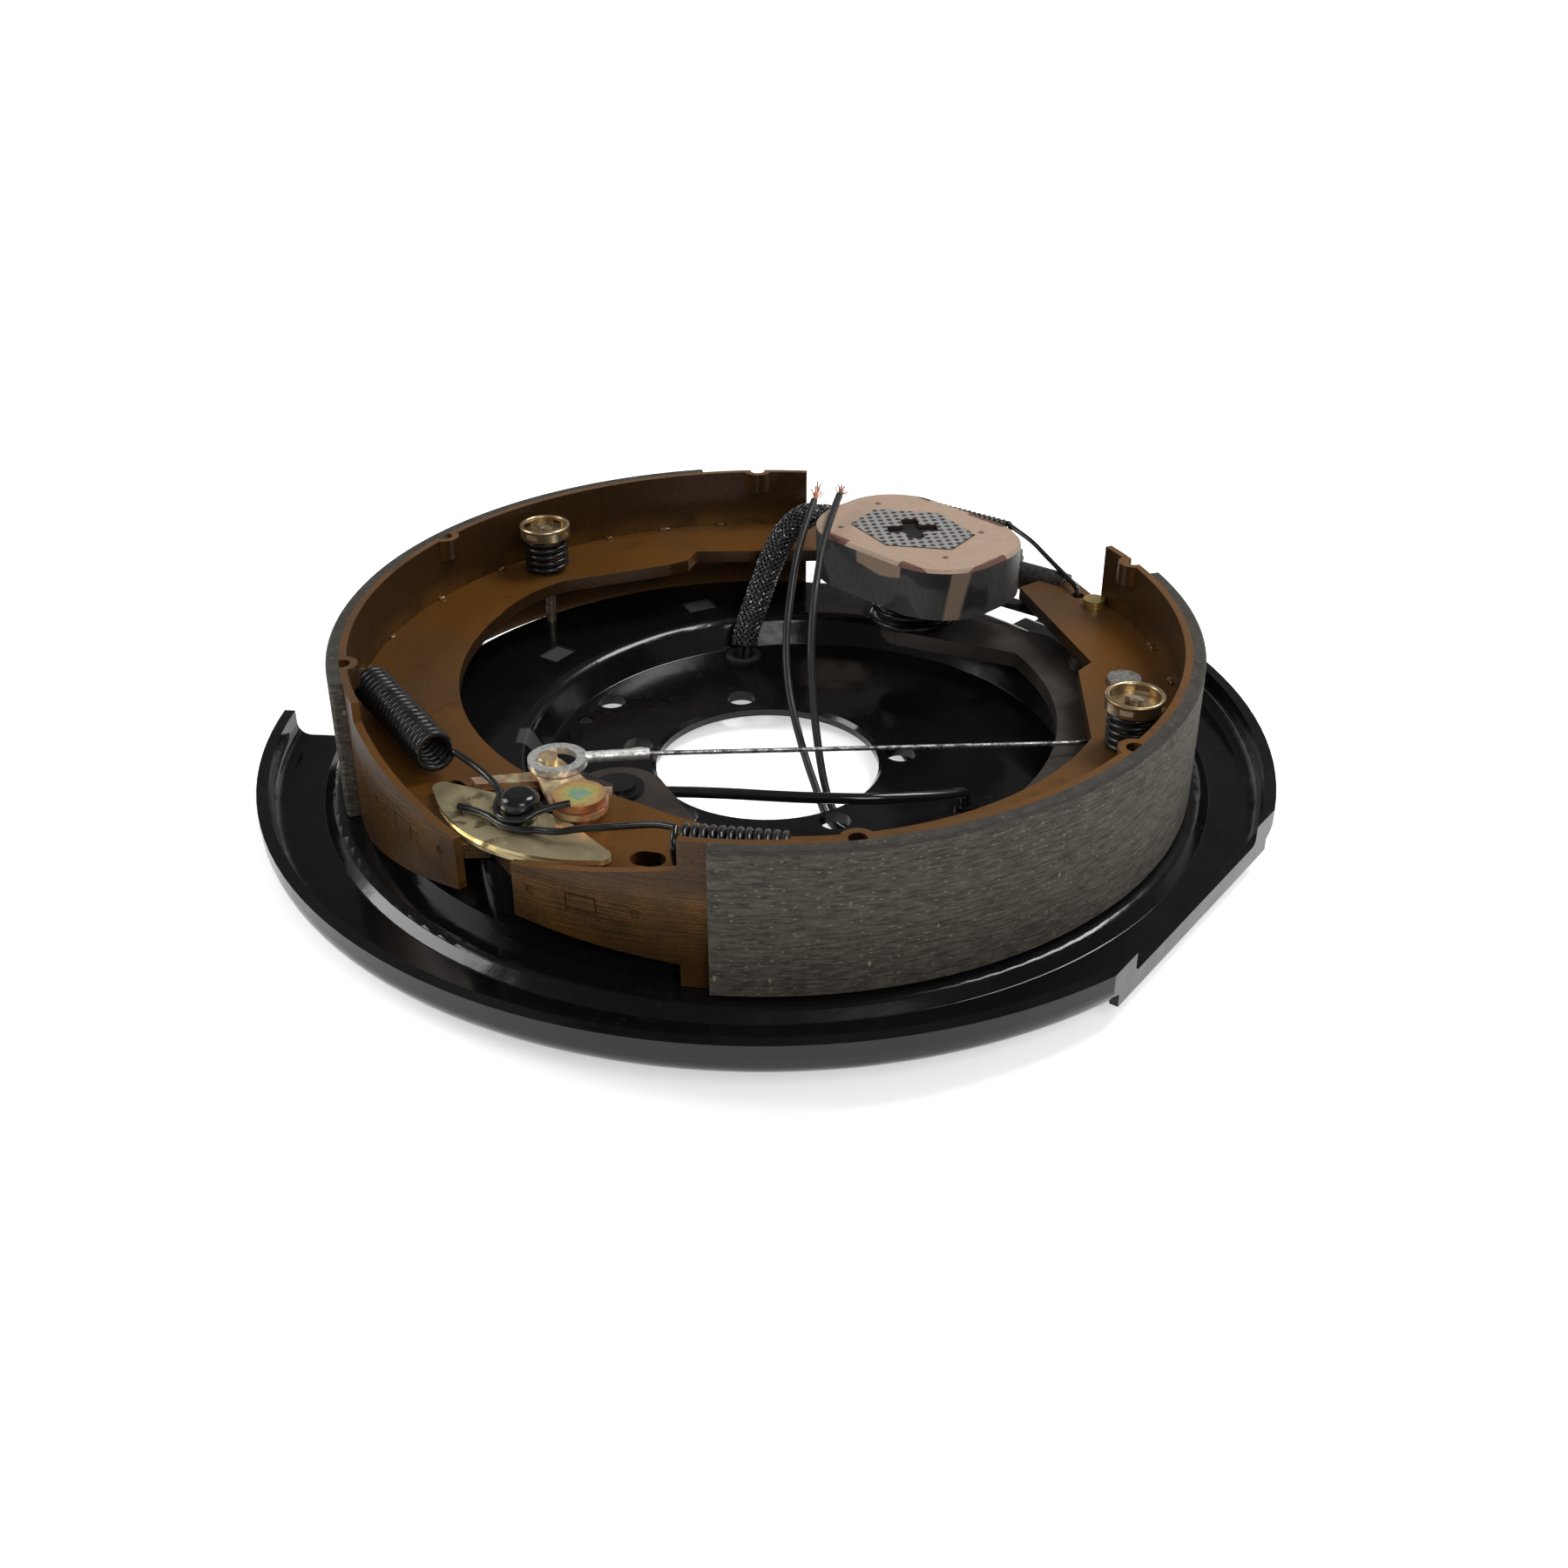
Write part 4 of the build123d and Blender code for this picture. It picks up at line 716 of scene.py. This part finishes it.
class BRAKE_OT_leads(bpy.types.Operator):
    """Lays the two insulated leads through grommet and bore, with their bare copper ends."""

    bl_idname = "brake.leads"
    bl_label = "Leads"

    def execute(self, context):
        sizes = context.scene.brake_sizes
        skin = lead_skin("lead_black")
        copper = copper_strand("copper", context.scene.brake_colours.copper)
        rows = (("first_lead", FIRST_LEAD_ROUTE, 0.359, 3), ("second_lead", SECOND_LEAD_ROUTE, 0.3453, 8))
        for name, route, length, seed in rows:
            lead = open_curve(name + "_skin", [(route, 16)], sizes.lead_radius, 4)
            lead.data.materials.append(skin)
            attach(lead, "plate")
            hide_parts(name, name + "_under_plate")
            strands = self.flared_strands(name + "_copper", route, seed, copper)
            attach(strands, "plate")
            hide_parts(name + "_strands")
        return {"FINISHED"}

    def flared_strands(self, name, route, seed, copper):
        """Fine copper wires that spread out of the lead's stripped end."""
        chance = random.Random(seed)
        tip = Vector(route[-1])
        along = (tip - Vector(route[-2])).normalized()
        side = along.orthogonal().normalized()
        up = along.cross(side)
        ceiling = cad_box[1][2] - 0.0003
        wires, wire_radius = 17, 0.00020
        runs = []
        for index in range(wires):
            angle = 2 * pi * index / wires + chance.uniform(-0.3, 0.3)
            spread = chance.uniform(0.0004, 0.0030)
            reach = chance.uniform(0.0052, 0.0090)
            away = side * cos(angle) + up * sin(angle)
            bend = side * chance.uniform(-0.0008, 0.0008) + up * chance.uniform(-0.0008, 0.0008)
            places = [
                tip - along * 0.001 + away * 0.0004,
                tip + along * 0.0012 + away * 0.0005,
                tip + along * (reach * 0.55) + away * (spread * 0.35) + bend,
                tip + along * reach + away * spread,
            ]
            for place in places:
                place.z = min(place.z, ceiling)
            runs.append((places, 6))
        return solid_wire(name, runs, wire_radius, copper, 1)


class BRAKE_OT_sleeve(bpy.types.Operator):
    """Braids the sleeve that carries the leads from the magnet down to the grommet."""

    bl_idname = "brake.sleeve"
    bl_label = "Braided sleeve"

    def execute(self, context):
        path = path_of(SLEEVE_ROUTE)
        line = even_places(path, 0.00035)
        frames = frames_along(line, Vector((0.80, 0.60, 0.0)))
        count = context.scene.brake_sizes.braid_threads
        half_wide, flat, weave, turn_length = 0.00490, 0.72, 0.00022, 0.034
        runs = []
        for way in (1, -1):
            for index in range(count):
                phase = 2 * pi * index / count
                thread = twisted(line, frames, half_wide, way * turn_length, phase, flat, way * weave, count)
                runs.append((thread, 1))
        core_radius, thread_radius = 0.0033, 0.00036
        core = open_curve("sleeve_core", [(SLEEVE_ROUTE, 16)], core_radius, 6)
        core.data.materials.append(rubber("sleeve_shade", (0.006, 0.006, 0.006, 1)))
        bpy.ops.object.convert(target="MESH")
        core = context.object
        threads = solid_wire("braided_sleeve", runs, thread_radius, braid_thread("sleeve"), 1)
        core.select_set(True)
        context.view_layer.objects.active = threads
        bpy.ops.object.join()
        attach(threads, "plate")
        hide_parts("lead_sleeve")
        return {"FINISHED"}


class BRAKE_OT_return_springs(bpy.types.Operator):
    """Winds the two return springs and leads their wires round the anchor and into the webs."""

    bl_idname = "brake.return_springs"
    bl_label = "Return springs"

    def execute(self, context):
        sizes = context.scene.brake_sizes
        black = oiled_black_wire("return_spring_black")
        level = 0.0475
        upper = 0.0447
        lower = 0.0423
        wire = [
            (-0.0140, 0.1182, 0.0477),
            (-0.0079, 0.1250, 0.0468),
            (-0.0065, 0.1310, upper),
            (0.0010, 0.1342, upper),
            (0.0072, 0.1292, upper),
            (0.0106, 0.1232, upper),
            (0.0163, 0.1202, upper + 0.0001),
            (0.0229, 0.1181, upper + 0.0006),
            (0.0280, 0.1172, upper + 0.0013),
            (0.0335, 0.1170, upper + 0.0025),
            (0.0385, 0.1172, upper + 0.0036),
        ]
        self.spring("primary_return_coil", "primary_return_spring", black, wire, (0.0405, 0.1212),
                    (0.0962, 0.0995), (0.103, 0.0915), level, -160, sizes, sizes.primary_turns)
        wire = [
            (0.0190, 0.1336, lower),
            (0.0095, 0.1316, lower),
            (0.0010, 0.1340, lower),
            (-0.0065, 0.1325, lower),
            (-0.0100, 0.1303, lower + 0.0004),
            (-0.0181, 0.1286, lower + 0.0017),
            (-0.0222, 0.1253, lower + 0.0027),
            (-0.0295, 0.1217, lower + 0.0042),
            (-0.0373, 0.1187, lower + 0.0062),
            (-0.0441, 0.1165, lower + 0.0082),
            (-0.0490, 0.1158, lower + 0.0095),
        ]
        self.spring("secondary_return_coil", "secondary_return_spring", black, wire, (-0.0520, 0.1163),
                    (-0.0850, 0.0990), (-0.094, 0.085), level - 0.001, 90, sizes, sizes.secondary_turns)
        return {"FINISHED"}

    def spring(self, name, node, black, wire, first, last, hole, level, first_angle, sizes, turns):
        start = Vector((first[0], first[1], level))
        end = Vector((last[0], last[1], level))
        along = (end - start).normalized()
        radius = sizes.return_coil - sizes.return_wire / 2
        begin = start + along * 0.0016
        finish = end - along * 0.0015
        quarter = (-90 - first_angle) / 360
        coil = coil_places(begin, finish, radius, radians(first_angle), turns + quarter)
        hook = [
            coil[-1],
            coil[-1] + along * 0.004,
            Vector((hole[0] - along.x * 0.002, hole[1] - along.y * 0.002, coil[-1].z)),
            Vector((hole[0], hole[1], coil[-1].z - 0.0008)),
            Vector((hole[0], hole[1], 0.0385)),
            Vector((hole[0], hole[1], 0.0322)),
        ]
        runs = [(wire + [coil[0]], 10), (coil, 2), (hook, 8)]
        spring = solid_wire(name, runs, sizes.return_wire / 2, black, 3)
        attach(spring, "plate")
        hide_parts(node)


class BRAKE_OT_arm_spring(bpy.types.Operator):
    """Winds the magnet arm's return spring under its pivot and runs its leg across the bore."""

    bl_idname = "brake.arm_spring"
    bl_label = "Arm spring"

    def execute(self, context):
        wire = context.scene.brake_sizes.arm_wire
        low = Vector((0.004, 0.077, 0.0132))
        high = Vector((0.004, 0.077, 0.0170))
        turns = 0.93
        coil = coil_places(low, high, 0.0096, radians(-30 + 360 * turns), -turns, 20)
        leg = [
            (0.0123, 0.0722, 0.0170),
            (0.0100, 0.0672, 0.0169),
            (0.0065, 0.0600, 0.0166),
            (-0.0120, 0.0460, 0.0160),
            (-0.0330, 0.0340, 0.0160),
            (-0.0520, 0.0216, 0.0160),
            (-0.0600, 0.0145, 0.0155),
            (-0.0680, 0.0030, 0.0135),
            (-0.0730, -0.0070, 0.0110),
            (-0.0752, -0.0135, 0.0098),
            (-0.0755, -0.0150, 0.0085),
            (-0.0755, -0.0150, 0.0060),
            (-0.0755, -0.0150, -0.0015),
        ]
        black = gloss_black_paint("arm_spring_black", WIRE_BLACK, 0.45)
        spring = solid_wire("arm_spring_coil", [(coil, 3), (leg, 10)], wire / 2, black, 5)
        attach(spring, "plate")
        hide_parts("arm_return_spring")
        return {"FINISHED"}


class BRAKE_OT_magnet_spring(bpy.types.Operator):
    """Winds the cone spring between the arm and the magnet."""

    bl_idname = "brake.magnet_spring"
    bl_label = "Magnet spring"

    def execute(self, context):
        low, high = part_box("magnet_spring")
        centre_x = (low[0] + high[0]) / 2
        centre_y = (low[1] + high[1]) / 2
        inset, wide_end, narrow_end, turns = 0.0013, 0.0166, 0.0133, 3.6
        start = Vector((centre_x, centre_y, low[2] + inset))
        end = Vector((centre_x, centre_y, high[2] - inset))
        coil = coil_places(start, end, wide_end, 0.0, turns, 20, narrow_end)
        black = oiled_black_wire("magnet_spring_black")
        spring = solid_wire("magnet_spring_coil", [(coil, 3)], 0.0012, black, 3)
        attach(spring, "magnet")
        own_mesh(spring)
        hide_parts("magnet_spring")
        return {"FINISHED"}


class BRAKE_OT_adjuster_spring(bpy.types.Operator):
    """Winds the spring that holds the two shoes on the adjuster."""

    bl_idname = "brake.adjuster_spring"
    bl_label = "Adjuster spring"

    def execute(self, context):
        level = 0.0443
        first = Vector((-0.008, -0.155, level))
        last = Vector((0.030, -0.155, level))
        coil = coil_places(first, last, 0.0035, radians(90), 16)
        right = [
            coil[0],
            (-0.0115, -0.1548, 0.0462),
            (-0.0220, -0.1510, 0.0448),
            (-0.0330, -0.1440, 0.0430),
            (-0.0460, -0.1355, 0.0415),
            (-0.0535, -0.1303, 0.0408),
            (-0.0560, -0.1285, 0.0395),
            (-0.0560, -0.1285, 0.0322),
        ]
        left = [
            coil[-1],
            (0.0345, -0.1538, 0.0462),
            (0.0440, -0.1440, 0.0430),
            (0.0535, -0.1310, 0.0408),
            (0.0560, -0.1285, 0.0395),
            (0.0560, -0.1285, 0.0322),
        ]
        black = oiled_black_wire("adjuster_spring_black")
        spring = solid_wire("adjuster_spring_coil", [(coil, 2), (right, 8), (left, 8)], 0.0010, black, 3)
        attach(spring, "plate")
        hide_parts("adjuster_spring")
        return {"FINISHED"}


class BRAKE_OT_rope(bpy.types.Operator):
    """Lays the strands of the adjuster's wire rope from the ferrule round its guide."""

    bl_idname = "brake.rope"
    bl_label = "Adjuster rope"

    def execute(self, context):
        sizes = context.scene.brake_sizes
        route = [
            (-0.0060, 0.0768, 0.0434),
            (-0.0081, 0.0746, 0.0433),
            (-0.0500, 0.0273, 0.0375),
            (-0.1040, -0.0340, 0.0300),
            (-0.1075, -0.0380, 0.0296),
            (-0.1140, -0.0490, 0.0296),
            (-0.1190, -0.0676, 0.0296),
            (-0.1190, -0.0790, 0.0296),
            (-0.1159, -0.0861, 0.0296),
            (-0.1090, -0.0905, 0.0296),
            (-0.0860, -0.0935, 0.0296),
        ]
        places = even_places(path_of(route), 0.0006)
        frames = frames_along(places)
        steel = bare_steel("rope_steel", (0.400, 0.395, 0.380, 1), (0.060, 0.058, 0.055, 1), 0.25, 0.42)
        strands, reach = 6, 0.00052
        runs = []
        for index in range(strands):
            phase = 2 * pi * index / strands
            runs.append((twisted(places, frames, reach, sizes.rope_lay, phase), 1))
        rope = solid_wire("adjuster_rope", runs, sizes.rope_strand, steel, 1)
        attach(rope, "secondary_shoe")
        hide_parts("adjuster_cable")
        return {"FINISHED"}


class BRAKE_OT_weld_beads(bpy.types.Operator):
    """Sets the small weld beads in the corner between webs and shoe tables."""

    bl_idname = "brake.weld_beads"
    bl_label = "Weld beads"

    def execute(self, context):
        rows = (
            ("primary_weld_beads", "primary_shoe", (-47, -36, -24, -13, -3, 9, 22, 33, 42, 54), 2),
            ("secondary_weld_beads", "secondary_shoe", (128, 141, 155, 168, 182, 199, 207, 216, 228), 6),
        )
        web_top = 0.0381
        lacquer = bronze_lacquer("weld_lacquer", context.scene.brake_colours)
        shader = lacquer.node_tree.nodes["Principled BSDF"]
        shader.inputs["Coat Weight"].default_value = 0.8
        for name, body, angles, seed in rows:
            chance = random.Random(seed)
            beads = []
            for angle in angles:
                turn = radians(angle + chance.uniform(-2, 2))
                bpy.ops.object.select_all(action="DESELECT")
                bpy.ops.mesh.primitive_ico_sphere_add(subdivisions=3, radius=0.0013)
                bead = context.object
                for vertex in bead.data.vertices:
                    vertex.co *= chance.uniform(0.88, 1.12)
                bead.data.transform(Matrix.Diagonal((0.9, chance.uniform(1.2, 2.4), 0.62, 1)))
                bead.data.transform(Matrix.Rotation(turn, 4, "Z"))
                place = (TABLE_CORNER * cos(turn), TABLE_CORNER * sin(turn), web_top)
                bead.data.transform(Matrix.Translation(place))
                beads.append(bead)
            for bead in beads:
                bead.select_set(True)
            context.view_layer.objects.active = beads[0]
            bpy.ops.object.join()
            row = context.object
            row.name = name
            row.data.materials.clear()
            row.data.materials.append(lacquer)
            bpy.ops.object.shade_smooth()
            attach(row, body)
        return {"FINISHED"}


class BRAKE_OT_finishes(bpy.types.Operator):
    """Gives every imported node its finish."""

    bl_idname = "brake.finishes"
    bl_label = "Finishes"

    def execute(self, context):
        colours = context.scene.brake_colours
        marks = ((0.0889, -0.0710, -28), (0.1060, -0.0024, 3), (0.0688, 0.0524, 36))
        wear(gloss_black_paint("plate_black", colours.paint, pale_marks=marks), "backing_plate")
        wear(gloss_black_paint("post_black", WIRE_BLACK), "anchor_post", "arm_pivot_post")
        wear(guide_zinc("guide_plate_zinc", colours), "shoe_guide_plate")
        spring = oiled_black_wire("hold_down_black")
        cup = zinc_plate("cup_gold_zinc", (0.470, 0.380, 0.230, 1), (0.260, 0.170, 0.080, 1), 0.24, 0.40, 0.6)
        pin = bare_steel("nail_steel", (0.42, 0.36, 0.26, 1), (0.20, 0.15, 0.09, 1))
        wear(spring, "primary_hold_down_spring", "secondary_hold_down_spring")
        wear(cup, "primary_hold_down_cup", "secondary_hold_down_cup")
        wear(pin, "primary_hold_down_pin", "secondary_hold_down_pin")
        lacquer = bronze_lacquer("bronze_lacquer", colours)
        wear(lacquer, "primary_rim", "primary_web", "secondary_rim", "secondary_web")
        wear(ground_lining("friction_lining", colours.lining), "primary_lining", "secondary_lining")
        wear(arm_steel("arm_taupe_steel"), "actuating_arm", "magnet_post")
        wear(magnet_resin("magnet_face_and_side", colours), "magnet_case")
        wear(perforated_steel("perforated_pole"), "magnet_pole")
        rosy = zinc_plate("lever_rose_zinc", (0.780, 0.480, 0.330, 1), colours.zinc, 0.26, 0.44, 0.45)
        wear(rosy, "parking_lever", "parking_strut")
        wear(rainbow_zinc("rainbow_disc", (-0.0105, 0.1105, 0.0)), "parking_lever_pin")
        grey = bare_steel("dull_grey_steel", (0.30, 0.30, 0.285, 1), (0.11, 0.10, 0.09, 1), 0.40, 0.62)
        wear(grey, "cable_guide_rivet")
        gold = zinc_plate("gold_rivet", (0.86, 0.68, 0.28, 1), (0.76, 0.56, 0.20, 1), 0.14, 0.26, 0.12)
        wear(gold, "adjuster_lever_rivet")
        pale = bare_steel("eye_steel", (0.74, 0.74, 0.71, 1), (0.36, 0.36, 0.35, 1), 0.34, 0.55)
        wear(pale, "cable_eye")
        dark = bare_steel("oily_dark_steel", (0.055, 0.053, 0.050, 1), (0.014, 0.013, 0.012, 1), 0.35,
                          0.60, 0.60)
        wear(dark, "star_wheel_screw", "adjuster_socket", "adjuster_nut", "adjuster_washer", "cable_guide",
             "adjuster_lever")
        wear(rubber("black_rubber"), "lead_grommet", "adjuster_slot_plug")
        return {"FINISHED"}


class BRAKE_OT_stage(bpy.types.Operator):
    """Lays the pale floor under the brake and hangs the soft lamps."""

    bl_idname = "brake.stage"
    bl_label = "Stage"

    def execute(self, context):
        bpy.ops.object.select_all(action="DESELECT")
        bpy.ops.mesh.primitive_plane_add(size=12.0)
        floor = context.object
        floor.name = "studio_floor"
        floor.data.transform(Matrix.Translation((0, 0, cad_box[0][2] - 0.0002)))
        floor.data.materials.append(self.floor_material())
        self.world(context)
        self.lamp("key_softbox", (-0.35, -0.75, 1.25), 0.6, 17.0)
        self.lamp("left_softbox", (1.10, 0.70, 0.85), 0.7, 12.0)
        self.lamp("front_softbox", (-0.95, 0.60, 0.95), 0.6, 7.0)
        return {"FINISHED"}

    def seen_rays(self, tree):
        """1 for camera, glossy and transmission rays, and 0 for the rest."""
        rays = tree.add("LightPath").outputs
        seen = tree.maths("MAXIMUM", rays["Is Camera Ray"], rays["Is Glossy Ray"])
        return tree.maths("MAXIMUM", seen, rays["Is Transmission Ray"])

    def floor_material(self):
        """White floor that glows less near the brake, so that its shadow shows there."""
        material = bpy.data.materials.new("floor_white")
        tree = Nodes(material)
        tree.nodes.clear()
        reach = tree.add("VectorMath")
        reach.operation = "LENGTH"
        tree.put(reach.inputs[0], tree.add("TexCoord").outputs["Object"])
        near, far = 0.24, 0.90
        near_glow, far_glow = 0.50, 0.85
        level = tree.steps(reach.outputs["Value"], near, far, near_glow, far_glow, "LINEAR")
        glow = tree.add("Emission", Color=(1, 1, 1, 1), Strength=tree.times(self.seen_rays(tree), level))
        diffuse = tree.add("BsdfDiffuse", Color=(0.80, 0.80, 0.80, 1))
        both = tree.add("AddShader")
        tree.put(both.inputs[0], diffuse.outputs["BSDF"])
        tree.put(both.inputs[1], glow.outputs["Emission"])
        tree.add("OutputMaterial", Surface=both.outputs["Shader"])
        return material

    def world(self, context):
        """White surroundings, dimmer as a light and where glossy surfaces mirror what is overhead."""
        world = bpy.data.worlds.new("studio_air")
        context.scene.world = world
        tree = Nodes(world)
        _, _, height = tree.parts(tree.add("TexCoord").outputs["Generated"])
        overhead, as_light = 0.12, 0.35
        ceiling = tree.steps(height, 0.12, 0.40, 1.0, overhead, "LINEAR")
        glossy = tree.add("LightPath").outputs["Is Glossy Ray"]
        mirrored = tree.steps(glossy, 0.0, 1.0, 1.0, ceiling, "LINEAR")
        strength = tree.steps(self.seen_rays(tree), 0.0, 1.0, as_light, mirrored, "LINEAR")
        background = tree.nodes["Background"]
        background.inputs["Color"].default_value = (1, 1, 1, 1)
        tree.put(background.inputs["Strength"], strength)

    def lamp(self, name, place, size, power):
        """Square lamp that is turned to the brake."""
        target = Vector((0.0, 0.0, 0.02))
        bpy.ops.object.light_add(type="AREA", location=place)
        lamp = bpy.context.object
        lamp.name = name
        lamp.data.shape = "SQUARE"
        lamp.data.size = size
        lamp.data.energy = power
        lamp.rotation_euler = (target - Vector(place)).to_track_quat("-Z", "Y").to_euler()


PIECE_OPERATORS = (
    BRAKE_OT_camera,
    BRAKE_OT_leads,
    BRAKE_OT_sleeve,
    BRAKE_OT_return_springs,
    BRAKE_OT_arm_spring,
    BRAKE_OT_magnet_spring,
    BRAKE_OT_adjuster_spring,
    BRAKE_OT_rope,
    BRAKE_OT_weld_beads,
    BRAKE_OT_finishes,
    BRAKE_OT_stage,
)


class BRAKE_PT_pieces(bpy.types.Panel):
    """Lists the brake's sizes, colours and pieces."""

    bl_idname = "BRAKE_PT_pieces"
    bl_label = "Drum Brake"
    bl_space_type = "VIEW_3D"
    bl_region_type = "UI"
    bl_category = "Drum Brake"

    def draw(self, context):
        layout = self.layout
        for group in (context.scene.brake_sizes, context.scene.brake_colours):
            box = layout.box()
            for name in group.bl_rna.properties.keys():
                if name not in ("rna_type", "name"):
                    box.prop(group, name)
        for piece in PIECE_OPERATORS:
            layout.operator(piece.bl_idname)


CLASSES = (BrakeSizes, BrakeColours) + PIECE_OPERATORS + (BRAKE_PT_pieces,)


def register():
    for cls in CLASSES:
        bpy.utils.register_class(cls)
    bpy.types.Scene.brake_sizes = bpy.props.PointerProperty(type=BrakeSizes)
    bpy.types.Scene.brake_colours = bpy.props.PointerProperty(type=BrakeColours)


def unregister():
    del bpy.types.Scene.brake_colours
    del bpy.types.Scene.brake_sizes
    for cls in reversed(CLASSES):
        bpy.utils.unregister_class(cls)


def main():
    register()
    bpy.context.scene.view_settings.view_transform = "Standard"
    bpy.ops.brake.camera()
    bpy.ops.brake.leads()
    bpy.ops.brake.sleeve()
    bpy.ops.brake.return_springs()
    bpy.ops.brake.arm_spring()
    bpy.ops.brake.magnet_spring()
    bpy.ops.brake.adjuster_spring()
    bpy.ops.brake.rope()
    bpy.ops.brake.weld_beads()
    bpy.ops.brake.finishes()
    bpy.ops.brake.stage()


if __name__ == "__main__":
    main()
